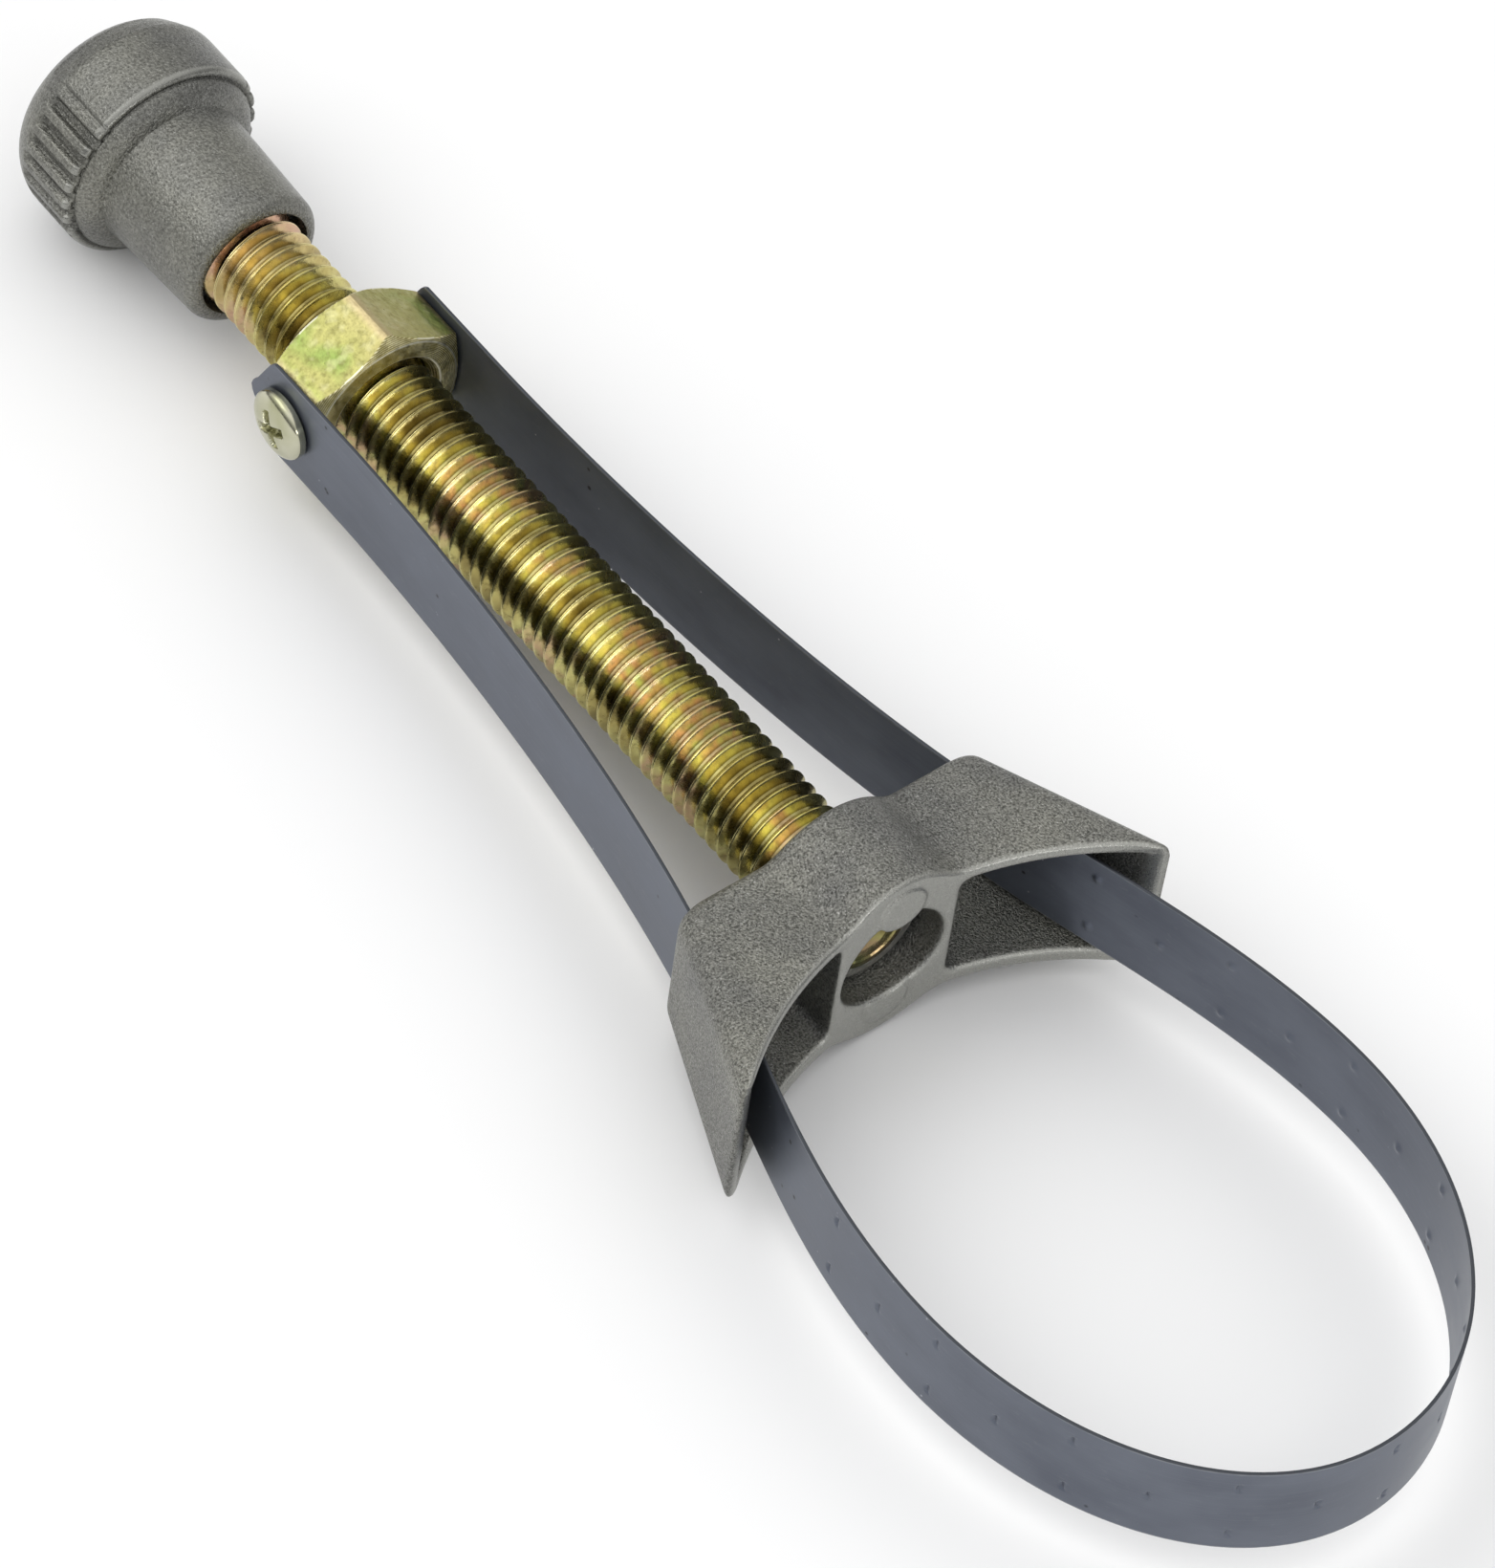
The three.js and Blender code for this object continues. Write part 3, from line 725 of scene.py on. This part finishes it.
def thread_section():
    """One pitch of the thread as (share of the pitch from the crest, radius)."""
    crest = SPINDLE_HIGH[1]
    return [
        (-CREST_HALF, crest - 0.07),
        (-CREST_HALF * 0.68, crest),
        (-CREST_HALF * 0.25, crest - CREST_FURROW),
        (CREST_HALF * 0.25, crest - CREST_FURROW),
        (CREST_HALF * 0.68, crest),
        (CREST_HALF, crest - 0.07),
        (CREST_HALF + 0.05, crest - 0.26),
        (0.5 - ROOT_HALF - 0.04, ROOT_RADIUS + 0.16),
        (0.5 - ROOT_HALF, ROOT_RADIUS + 0.04),
        (0.5, ROOT_RADIUS),
        (0.5 + ROOT_HALF, ROOT_RADIUS + 0.04),
        (0.5 + ROOT_HALF + 0.04, ROOT_RADIUS + 0.16),
        (1 - CREST_HALF - 0.05, crest - 0.26),
    ]


def spindle_mesh():
    """A threaded bar whose rows follow the helix, with a ring at each end, then the riveted tip."""
    section = thread_section()
    rows_a_turn = len(section)
    start, shoulder = SPINDLE_LOW[0], SPINDLE_HIGH[0] - SHOULDER_TO_END
    crest_zero = CREST_AT - PITCH * CREST_ANGLE / 360
    first = crest_zero - PITCH * math.floor((crest_zero - start - 1.0) / PITCH)
    turns = int((shoulder - 0.6 - first) / PITCH) - 1
    rows = turns * rows_a_turn
    index, points = {}, []
    for j in range(THREAD_COLUMNS):
        angle = 2 * math.pi * j / THREAD_COLUMNS
        for i in range(rows + 1 + (rows_a_turn if j == 0 else 0)):
            share, radius = section[i % rows_a_turn]
            x = first + PITCH * (i // rows_a_turn + share + j / THREAD_COLUMNS)
            index[i, j] = len(points)
            points.append((x, radius * math.cos(angle), radius * math.sin(angle)))

    def at(i, j):
        return index[(i, j) if j < THREAD_COLUMNS else (i + rows_a_turn, 0)]

    faces = [
        (at(i, j), at(i + 1, j), at(i + 1, j + 1), at(i, j + 1))
        for j in range(THREAD_COLUMNS)
        for i in range(rows)
    ]

    def ring(x, radius):
        base = len(points)
        for j in range(THREAD_COLUMNS):
            angle = 2 * math.pi * j / THREAD_COLUMNS
            points.append((x, radius * math.cos(angle), radius * math.sin(angle)))
        return base

    def join(a, b):
        for j in range(THREAD_COLUMNS):
            k = (j + 1) % THREAD_COLUMNS
            faces.append((a + j, b + j, b + k, a + k))

    def close(base, row):
        """Joins a helical end row to a plain ring."""
        for j in range(THREAD_COLUMNS - 1):
            faces.append((base + j, base + j + 1, at(row, j + 1), at(row, j)))
        step = [at(row + i, 0) for i in range(rows_a_turn + 1)]
        faces.append((base + THREAD_COLUMNS - 1, base, *step, at(row, THREAD_COLUMNS - 1)))

    low = ring(start, ROOT_RADIUS)
    close(low, 0)
    faces.append(tuple(low + j for j in range(THREAD_COLUMNS)))
    high = ring(shoulder, ROOT_RADIUS + 0.2)
    close(high, rows)
    end = WASHER_HIGH[0] + PEENED_PROUD
    tip = [
        (shoulder, JOURNAL_RADIUS),
        (end - PEENED_PROUD - 0.4, JOURNAL_RADIUS),
        (end - PEENED_PROUD, PEENED_RADIUS),
        (end - 0.12, PEENED_RADIUS - 0.05),
        (end, PEENED_RADIUS - 0.3),
        (end - 0.02, 4.6),
        (end - 0.22, 4.35),
        (end - 0.22, 3.7),
        (end - 0.02, 3.5),
        (end - 0.04, 2.4),
        (end - 0.3, 2.0),
        (end - 0.5, 0.7),
    ]
    last = high
    for x, radius in tip:
        made = ring(x, radius)
        join(last, made)
        last = made
    faces.append(tuple(last + j for j in range(THREAD_COLUMNS)))
    return points, faces


def build_spindle():
    points, faces = spindle_mesh()
    spindle = make("spindle_thread", points, faces, YELLOW_ZINC)
    sharpen(spindle, 28)
    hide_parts("spindle")
    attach(spindle, "spindle")
    for node in ("retaining_washer", "knob_pin"):
        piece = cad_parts[node]
        piece.data.materials.clear()
        piece.data.materials.append(GREY_STEEL)
        soften(piece, 0.15)


# ---------------------------------------------------------------- nut

NUT_BORE_RADIUS = 7.87
NUT_COUNTERSINK = 1.1
NUT_CORNER_POWER = 70.0
CHAMFER_SLOPE = math.tan(math.radians(30))
NUT_COLUMNS = 288


def hexagon(angles, flat):
    """Radius of a hexagon with softly rounded corners and two flats across Y."""
    total = np.zeros(len(angles))
    for k in range(6):
        total += np.maximum(np.cos(angles - k * math.pi / 3), 0) ** NUT_CORNER_POWER
    return flat / total ** (1 / NUT_CORNER_POWER)


def build_nut():
    angles = np.arange(NUT_COLUMNS) * 2 * math.pi / NUT_COLUMNS
    flat = NUT_HIGH[1]
    outer = hexagon(angles, flat)
    drop = (outer - NUT_FACE_RADIUS) * CHAMFER_SLOPE
    back, front = NUT_LOW[0], NUT_HIGH[0]

    def ring(x, radius):
        x = np.broadcast_to(x, angles.shape)
        return np.stack([x, radius * np.cos(angles), radius * np.sin(angles)], 1)

    plain = np.ones(NUT_COLUMNS)
    rings = []
    for side, face in ((-1, back), (1, front)):
        half = [
            ring(face - side * NUT_COUNTERSINK, plain * NUT_BORE_RADIUS),
            ring(face - side * 0.12, plain * (NUT_MOUTH_RADIUS - 0.12)),
            ring(face, plain * NUT_MOUTH_RADIUS + 0.12),
            ring(face, plain * (NUT_FACE_RADIUS - 0.25)),
            ring(face - side * 0.04, plain * NUT_FACE_RADIUS),
            ring(face - side * drop * 0.9, NUT_FACE_RADIUS + (outer - NUT_FACE_RADIUS) * 0.9),
            ring(face - side * (drop + 0.10), outer),
            ring(face - side * (drop + 0.35), outer),
        ]
        rings += half if side < 0 else half[::-1]
    points = np.concatenate(rings)
    count = len(rings)
    faces = []
    for i in range(count):
        a, b = i * NUT_COLUMNS, (i + 1) % count * NUT_COLUMNS
        for j in range(NUT_COLUMNS):
            k = (j + 1) % NUT_COLUMNS
            faces.append((a + j, b + j, b + k, a + k))
    nut = make("nut_body", points, faces, NUT_ZINC)
    sharpen(nut, 20)
    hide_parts("nut")
    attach(nut, "nut")


# ---------------------------------------------------------------- strap screws

HEAD_RADIUS = 5.1
HEAD_EDGE = 0.9
HEAD_HEIGHT = 2.6
RECESS_HALF = 0.68
RECESS_REACH = 3.0
RECESS_DEPTH = 1.75
SHANK_RADIUS = 2.5
HEAD_COLUMNS = 120


def recess(across, along):
    """Depth of the cross recess at a point of the head, as a share of its full depth."""
    slot = np.zeros(across.shape)
    for p, q in ((across, along), (along, across)):
        width = 1 - smoothstep(RECESS_HALF * 0.75, RECESS_HALF * 1.15, np.abs(p))
        reach = 1 - smoothstep(RECESS_REACH * 0.8, RECESS_REACH, np.abs(q))
        floor = 1 - 0.45 * np.abs(q) / RECESS_REACH
        slot = np.maximum(slot, width * reach * floor)
    return slot


def build_screw(name, node, side, turn):
    low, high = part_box(node)
    centre = (low.x + high.x) / 2 / MM
    top = max(abs(low.y), abs(high.y)) / MM
    under, tip = top - HEAD_HEIGHT, min(abs(low.y), abs(high.y)) / MM
    angles = np.arange(HEAD_COLUMNS) * 2 * math.pi / HEAD_COLUMNS
    rows = [(0.0, tip), (SHANK_RADIUS, tip), (SHANK_RADIUS, under), (HEAD_RADIUS - 0.15, under)]
    rows += [(HEAD_RADIUS, under + 0.15), (HEAD_RADIUS, under + HEAD_EDGE * 0.7)]
    rows += arc(0.0, under + HEAD_EDGE, HEAD_RADIUS, HEAD_HEIGHT - HEAD_EDGE, 4, 90, 44)
    points = [(centre, side * tip, 0.0)]
    for radius, height in rows[1:-1]:
        a, b = radius * np.cos(angles), radius * np.sin(angles)
        sink = recess(a, b) * RECESS_DEPTH if height > under + HEAD_EDGE else 0.0
        level = np.full(HEAD_COLUMNS, height) - sink
        c, s = math.cos(turn), math.sin(turn)
        points += list(zip(centre + a * c - b * s, side * level, a * s + b * c))
    points.append((centre, side * (top - RECESS_DEPTH), 0.0))
    faces = turned_faces(len(rows) - 2, HEAD_COLUMNS)
    screw = make(name, points, faces, PALE_ZINC)
    sharpen(screw, 40)
    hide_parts(node)
    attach(screw, "nut")


# ---------------------------------------------------------------- strap

STRAP_THICKNESS = 0.5
STRAP_EDGE = 0.12  # radius of its rounded edges
STRAP_AT_NUT = RUN_LOW[1] + STRAP_THICKNESS / 2
STRAP_TIP = RUN_LOW[0]
STRAIGHT_END = 75.6
POCKET_ENTRY = np.array((161.1, 21.3))
POCKET_SLOPE = 0.23
STRAP_SPLIT = 170.0
LOOP_MIDDLE = 224.6
LOOP_HALF = 35.0
LOOP_FAR = LOOP_HIGH[0] - STRAP_THICKNESS / 2
END_SETBACK = 0.4  # the strap's end stands this far inside its CAD solid
END_NOSE = 1.0  # length of the rounded nose
END_SLOPE = 2.0  # rise of the clipped corners
END_BLEND = 1.6
LOOP_LEAD = 17.0  # how far the loop runs on in the pockets' direction ...
LOOP_LEAD_SLOPE = 0.26  # ... and its slope there
LOOP_SWAY = 0.85  # how far the loop's sides lean to +Y ...
LOOP_SKEW = 2.6  # ... how far its widest points are staggered ...
TIP_SWAY = 1.2  # ... and how far its far end leans
LOOP_BULGE = 0.56  # length of the curve's handles, as a share of a circle's radius
HOLE_RADIUS = 2.8
HOLE_TURN = math.radians(1.9)  # keeps the cutter's edges off the strip's rows of points
NICK_FIRST = 38.0  # along the strap from the split to the first pair of nicks
NICK_STEP = 10.48
NICK_ROW = 5.0
NICK_DEPTH = 0.30


def cubic(a, b, c, d, steps):
    t = np.linspace(0, 1, steps + 1)[:, None]
    a, b, c, d = map(np.asarray, (a, b, c, d))
    return (1 - t) ** 3 * a + 3 * (1 - t) ** 2 * t * b + 3 * (1 - t) * t * t * c + t**3 * d


def pocket_y(x):
    return POCKET_ENTRY[1] + (x - POCKET_ENTRY[0]) * POCKET_SLOPE


def run_path(side):
    """The strap's middle line from its rounded end on the nut to the split inside the saddle."""
    parts = [
        np.linspace((STRAP_TIP, STRAP_AT_NUT), (STRAIGHT_END, STRAP_AT_NUT), 30),
        cubic(
            (STRAIGHT_END, STRAP_AT_NUT),
            (STRAIGHT_END + 7, STRAP_AT_NUT),
            (POCKET_ENTRY[0] - 37, pocket_y(POCKET_ENTRY[0] - 37)),
            POCKET_ENTRY,
            60,
        )[1:],
        np.linspace(POCKET_ENTRY, (STRAP_SPLIT, pocket_y(STRAP_SPLIT)), 12)[1:],
    ]
    return np.concatenate(parts) * (1, side)


def loop_path():
    """The strap's middle line round the filter, from the left split to the right one."""
    halves = []
    tip = (LOOP_FAR, TIP_SWAY)
    for side in (-1, 1):
        middle = (LOOP_MIDDLE + side * LOOP_SKEW, side * LOOP_HALF + LOOP_SWAY)
        start = (STRAP_SPLIT, side * pocket_y(STRAP_SPLIT))
        reach = LOOP_FAR - middle[0]
        leaving = (start[0] + LOOP_LEAD, start[1] + side * LOOP_LEAD * LOOP_LEAD_SLOPE)
        entry = cubic(start, leaving, (middle[0] - 20, middle[1]), middle, 60)
        out = cubic(
            middle,
            (middle[0] + reach * LOOP_BULGE, middle[1]),
            (tip[0], tip[1] + (middle[1] - tip[1]) * LOOP_BULGE),
            tip,
            90,
        )
        halves.append(np.concatenate([entry, out[1:]]))
    return np.concatenate([halves[0], halves[1][::-1][1:]])


def resample(path, stations):
    """Points and unit tangents of a path at given distances along it."""
    step = np.linalg.norm(np.diff(path, axis=0), axis=1)
    along = np.concatenate([[0], np.cumsum(step)])
    points = np.stack([np.interp(stations, along, path[:, k]) for k in (0, 1)], 1)
    ahead = np.stack([np.interp(stations + 0.5, along, path[:, k]) for k in (0, 1)], 1)
    behind = np.stack([np.interp(stations - 0.5, along, path[:, k]) for k in (0, 1)], 1)
    tangent = ahead - behind
    return points, tangent / np.linalg.norm(tangent, axis=1)[:, None]


def length_of(path):
    return np.linalg.norm(np.diff(path, axis=0), axis=1).sum()


def nick_places(total):
    """Distance along the loop and height of every nick, in a pattern of two, one, two."""
    places = []
    for k in range(int((total - NICK_FIRST) / NICK_STEP) + 1):
        at = NICK_FIRST + k * NICK_STEP
        if at > total - 6:
            break
        places += [(at, -NICK_ROW), (at, NICK_ROW)] if k % 2 == 0 else [(at, 0.0)]
    return places


def nick_push(along, height, places):
    """How far the strip's two faces are pressed in: a short crescent outside, a low tooth inside."""
    outside = np.zeros(along.shape)
    inside = np.zeros(along.shape)
    for at, row in places:
        u, v = along - at, height - row
        near = (np.abs(u) < 2.2) & (np.abs(v) < 2.2)
        if not near.any():
            continue
        bent = u - 0.35 * v * v
        crescent = np.exp(-((bent / 0.26) ** 2)) * (1 - smoothstep(0.55, 1.0, np.abs(v)))
        tooth = np.exp(-((u / 0.55) ** 2) - (v / 0.65) ** 2)
        outside = np.maximum(outside, np.where(near, crescent, 0))
        inside = np.maximum(inside, np.where(near, tooth, 0))
    return outside, inside


def strip(name, path, side_out, stations, heights, half_at, places, texture_start=0.0, texture_way=1):
    """A closed strip of the strap's thickness along a path, half_at wide to each side at a station."""
    points, tangent = resample(path, stations)
    out = np.stack([tangent[:, 1], -tangent[:, 0]], 1) * side_out
    shares = heights / STRAP_HALF
    edge = STRAP_EDGE
    along = np.broadcast_to(stations[:, None], (len(stations), len(shares)))
    level = half_at[:, None] * shares[None, :]
    outside, inside = nick_push(along, level, places)
    limit = np.clip((half_at[:, None] - np.abs(level)) / edge, 0, 1)
    body = STRAP_THICKNESS / 2 - edge * (1 - np.sqrt(np.clip(1 - (1 - limit) ** 2, 0, 1)))
    surfaces = []
    for face, push in ((1, outside), (-1, inside)):
        shift = face * body - push * NICK_DEPTH
        x = points[:, None, 0] + out[:, None, 0] * shift
        y = points[:, None, 1] + out[:, None, 1] * shift
        surfaces.append(np.stack([x, y, level], 2))
    rows, columns = level.shape
    vertices = np.concatenate([s.reshape(-1, 3) for s in surfaces])
    uv = np.stack([(texture_start + texture_way * along) * MM, level * MM], 2).reshape(-1, 2)
    uv = np.concatenate([uv, uv])
    faces = []
    back = rows * columns
    for i in range(rows - 1):
        for j in range(columns - 1):
            a, b = i * columns + j, (i + 1) * columns + j
            faces.append((a, b, b + 1, a + 1))
            faces.append((back + a, back + a + 1, back + b + 1, back + b))
        for j in (0, columns - 1):
            a, b = i * columns + j, (i + 1) * columns + j
            faces.append((a, b, back + b, back + a))
    for i in (0, rows - 1):
        for j in range(columns - 1):
            a = i * columns + j
            faces.append((a, a + 1, back + a + 1, back + a))
    piece = make(name, vertices, faces, SPRING_STEEL, uv.tolist())
    sharpen(piece, 50)
    return piece


def stations_between(start, end, coarse, centres=(), fine=0.2, reach=1.6):
    """Distances from start to end, closer together round each centre."""
    marks = [np.arange(start, end, coarse), [end]]
    marks += [np.arange(c - reach, c + reach, fine) for c in centres]
    merged = np.unique(np.round(np.concatenate(marks), 3))
    merged = merged[(merged >= start) & (merged <= end)]
    keep = np.concatenate([[True], np.diff(merged) > fine * 0.45])
    merged = merged[keep]
    merged[-1] = end
    return merged


def heights_across(rows=()):
    half = STRAP_HALF
    edges = half - np.array([0, 0.02, 0.06, 0.12, 0.4])
    marks = [edges, -edges, np.linspace(-half + 1, half - 1, 13)]
    marks += [np.arange(r - 1.3, r + 1.31, 0.2) for r in rows]
    merged = np.unique(np.round(np.concatenate(marks), 3))
    keep = np.concatenate([[True], np.diff(merged) > 0.015])
    return merged[keep]


def end_half_width(along):
    """The strap's half width near its end, with both corners clipped and a rounded nose."""
    nose = np.sqrt(np.clip(along / END_NOSE, 0, 1)) * END_NOSE * END_SLOPE
    clipped = nose + np.clip(along - END_NOSE, 0, None) * END_SLOPE
    return np.maximum(blend_min(clipped, np.full(len(along), STRAP_HALF), END_BLEND), 0.2)


def build_run(name, node, side):
    path = run_path(side)
    total = length_of(path)
    near = END_SETBACK
    stations = stations_between(near, total, 1.5, (near, near + 1.6, near + 3.2, near + 4.8), 0.16)
    half = end_half_width(stations - near)
    texture_start = -total if side < 0 else length_of(loop_path()) + total
    run = strip(name, path, -side, stations, heights_across(), half, [], texture_start, -side)
    hole = run_hole(node)
    cut = run.modifiers.new("hole", "BOOLEAN")
    cut.object = hole
    cut.solver = "EXACT"
    graph = bpy.context.evaluated_depsgraph_get()
    cut_mesh = bpy.data.meshes.new_from_object(run.evaluated_get(graph))
    run.modifiers.clear()
    run.data = cut_mesh
    bpy.data.objects.remove(hole)
    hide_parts(node)
    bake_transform(run)


def run_hole(node):
    """A plain pin through the strap's end, for the screw's hole."""
    low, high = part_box(node)
    hole = bmesh.new()
    bmesh.ops.create_cone(
        hole,
        cap_ends=True,
        segments=48,
        radius1=HOLE_RADIUS * MM,
        radius2=HOLE_RADIUS * MM,
        depth=(high.y - low.y),
    )
    turn = Matrix.Rotation(math.pi / 2, 3, "X") @ Matrix.Rotation(HOLE_TURN, 3, "Z")
    bmesh.ops.rotate(hole, verts=hole.verts, matrix=turn)
    bmesh.ops.translate(hole, verts=hole.verts, vec=(NUT_MIDDLE * MM, (low.y + high.y) / 2, 0))
    mesh = bpy.data.meshes.new("hole")
    hole.to_mesh(mesh)
    hole.free()
    made = bpy.data.objects.new("hole", mesh)
    SCENE.collection.objects.link(made)
    return made


def build_loop():
    path = loop_path()
    total = length_of(path)
    places = nick_places(total)
    stations = stations_between(0.0, total, 1.4, sorted({at for at, _ in places}))
    heights = heights_across((-NICK_ROW, 0.0, NICK_ROW))
    half = np.full(len(stations), STRAP_HALF)
    loop = strip("strap_loop_strip", path, 1, stations, heights, half, places)
    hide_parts("strap_loop")
    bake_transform(loop)


# ---------------------------------------------------------------- saddle

GRID = 0.32
BACK_HALF_WIDTH = 23.8
BACK_HALF_HEIGHT = 11.0
TIP_X = 188.2
TIP_HALF_HEIGHT = 12.8
WALL = 2.1
LIP = 2.6
BOSS_RADIUS = 12.0
WEB_HALF = 9.6
BORE_RADIUS = 8.2
REAR_WALL = 9.5
JOURNAL_BORE = 5.6
# Two round marks on the web's front: a raised pad above the bore and a ring-shaped scar below it.
PAD_Y, PAD_Z, PAD_RADIUS = 0.5, 10.0, 3.7
PAD_RAISE = 0.4
PAD_DEPTH = 1.6
SCAR_HALF = 0.27
SCAR_DEPTH = 0.22


def saddle_field(x, y, z):
    """Signed distance of the saddle casting, negative inside."""
    back_x = SADDLE_LOW[0]
    wide, tall = np.abs(y), np.abs(z)
    run, rise = TIP_X - back_x, SADDLE_HIGH[1] - BACK_HALF_WIDTH
    slant = math.hypot(run, rise)
    side = ((wide - BACK_HALF_WIDTH) * run - (x - back_x) * rise) / slant
    height = BACK_HALF_HEIGHT + (x - back_x) / run * (TIP_HALF_HEIGHT - BACK_HALF_HEIGHT)
    top = tall - height
    back = back_x - x
    front = ARC_RADIUS - np.hypot(x - FRONT_X - ARC_RADIUS, y)
    wings = blend_max(blend_max(top, side, 3.4), x - SADDLE_HIGH[0], 1.0)
    crown = SADDLE_HIGH[2] - BOSS_RADIUS
    boss = np.hypot(y, np.maximum(tall - crown, 0)) - BOSS_RADIUS
    outer = blend_max(blend_min(wings, boss, 1.8), back, 2.0)
    outer = blend_max(outer, front, 1.0)
    wall = np.where(z < 0, LIP, WALL)
    pocket = blend_max(blend_max(WEB_HALF - wide, top + wall, 2.2), side + WALL, 0.4)
    body = blend_max(outer, -pocket, 0.8)
    radius = np.hypot(y, z)
    rear_end = back_x + REAR_WALL
    body = blend_max(body, -blend_max(radius - BORE_RADIUS, rear_end - x, 0.5), 0.9)
    body = blend_max(body, -(radius - JOURNAL_BORE), 0.4)
    lug = np.hypot(y - PAD_Y, z - PAD_Z) - PAD_RADIUS
    lug = blend_max(lug, front - PAD_RAISE, 0.5)
    lug = blend_max(lug, -(front + PAD_DEPTH), 0.5)
    scar = np.abs(np.hypot(y - PAD_Y, z + PAD_Z) - PAD_RADIUS) - SCAR_HALF
    scar = np.maximum(scar, np.abs(front) - SCAR_DEPTH)
    body = blend_max(body, -scar, 0.3)
    return blend_min(body, lug, 0.25)


def surface(field, low, high, step):
    """Quads round the zero level of a field, one point to a cell that it crosses."""
    axes = [np.arange(a - 2.3 * step, b + 2.3 * step, step) for a, b in zip(low, high)]
    value = field(*np.meshgrid(*axes, indexing="ij"))
    inside = value < 0
    cells = tuple(n - 1 for n in value.shape)
    total = np.zeros((*cells, 3))
    count = np.zeros(cells)
    quads = []
    for axis in range(3):
        u, v = [k for k in range(3) if k != axis]
        here = [slice(None)] * 3
        there = [slice(None)] * 3
        here[axis], there[axis] = slice(0, -1), slice(1, None)
        a, b = value[tuple(here)], value[tuple(there)]
        crossed = np.argwhere(inside[tuple(here)] != inside[tuple(there)])
        pick = tuple(crossed.T)
        point = crossed.astype(float)
        point[:, axis] += a[pick] / (a[pick] - b[pick])
        corners = []
        for du, dv in ((0, 0), (1, 0), (1, 1), (0, 1)):
            cell = crossed.copy()
            cell[:, u] -= du
            cell[:, v] -= dv
            np.add.at(total, tuple(cell.T), point)
            np.add.at(count, tuple(cell.T), 1)
            corners.append(np.ravel_multi_index(tuple(cell.T), cells))
        quads.append(np.stack(corners, 1))
    used = np.flatnonzero(count.ravel())
    renumber = np.full(count.size, -1)
    renumber[used] = np.arange(len(used))
    points = total.reshape(-1, 3)[used] / count.ravel()[used][:, None]
    points = points * step + np.array([axis[0] for axis in axes])
    return points, renumber[np.concatenate(quads)]


def build_saddle():
    points, quads = surface(saddle_field, SADDLE_LOW, SADDLE_HIGH, GRID)
    saddle = make("saddle_casting", points, quads.tolist(), SADDLE_METAL)
    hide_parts("saddle")
    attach(saddle, "saddle")


build_knob()
build_spindle()
build_nut()
build_screw("strap_screw_head_left", "strap_screw_left", -1, 0.5)
build_screw("strap_screw_head_right", "strap_screw_right", 1, 0.9)
build_run("strap_strip_left", "strap_run_left", -1)
build_run("strap_strip_right", "strap_run_right", 1)
build_loop()
build_saddle()

SCENE.view_settings.view_transform = "Standard"
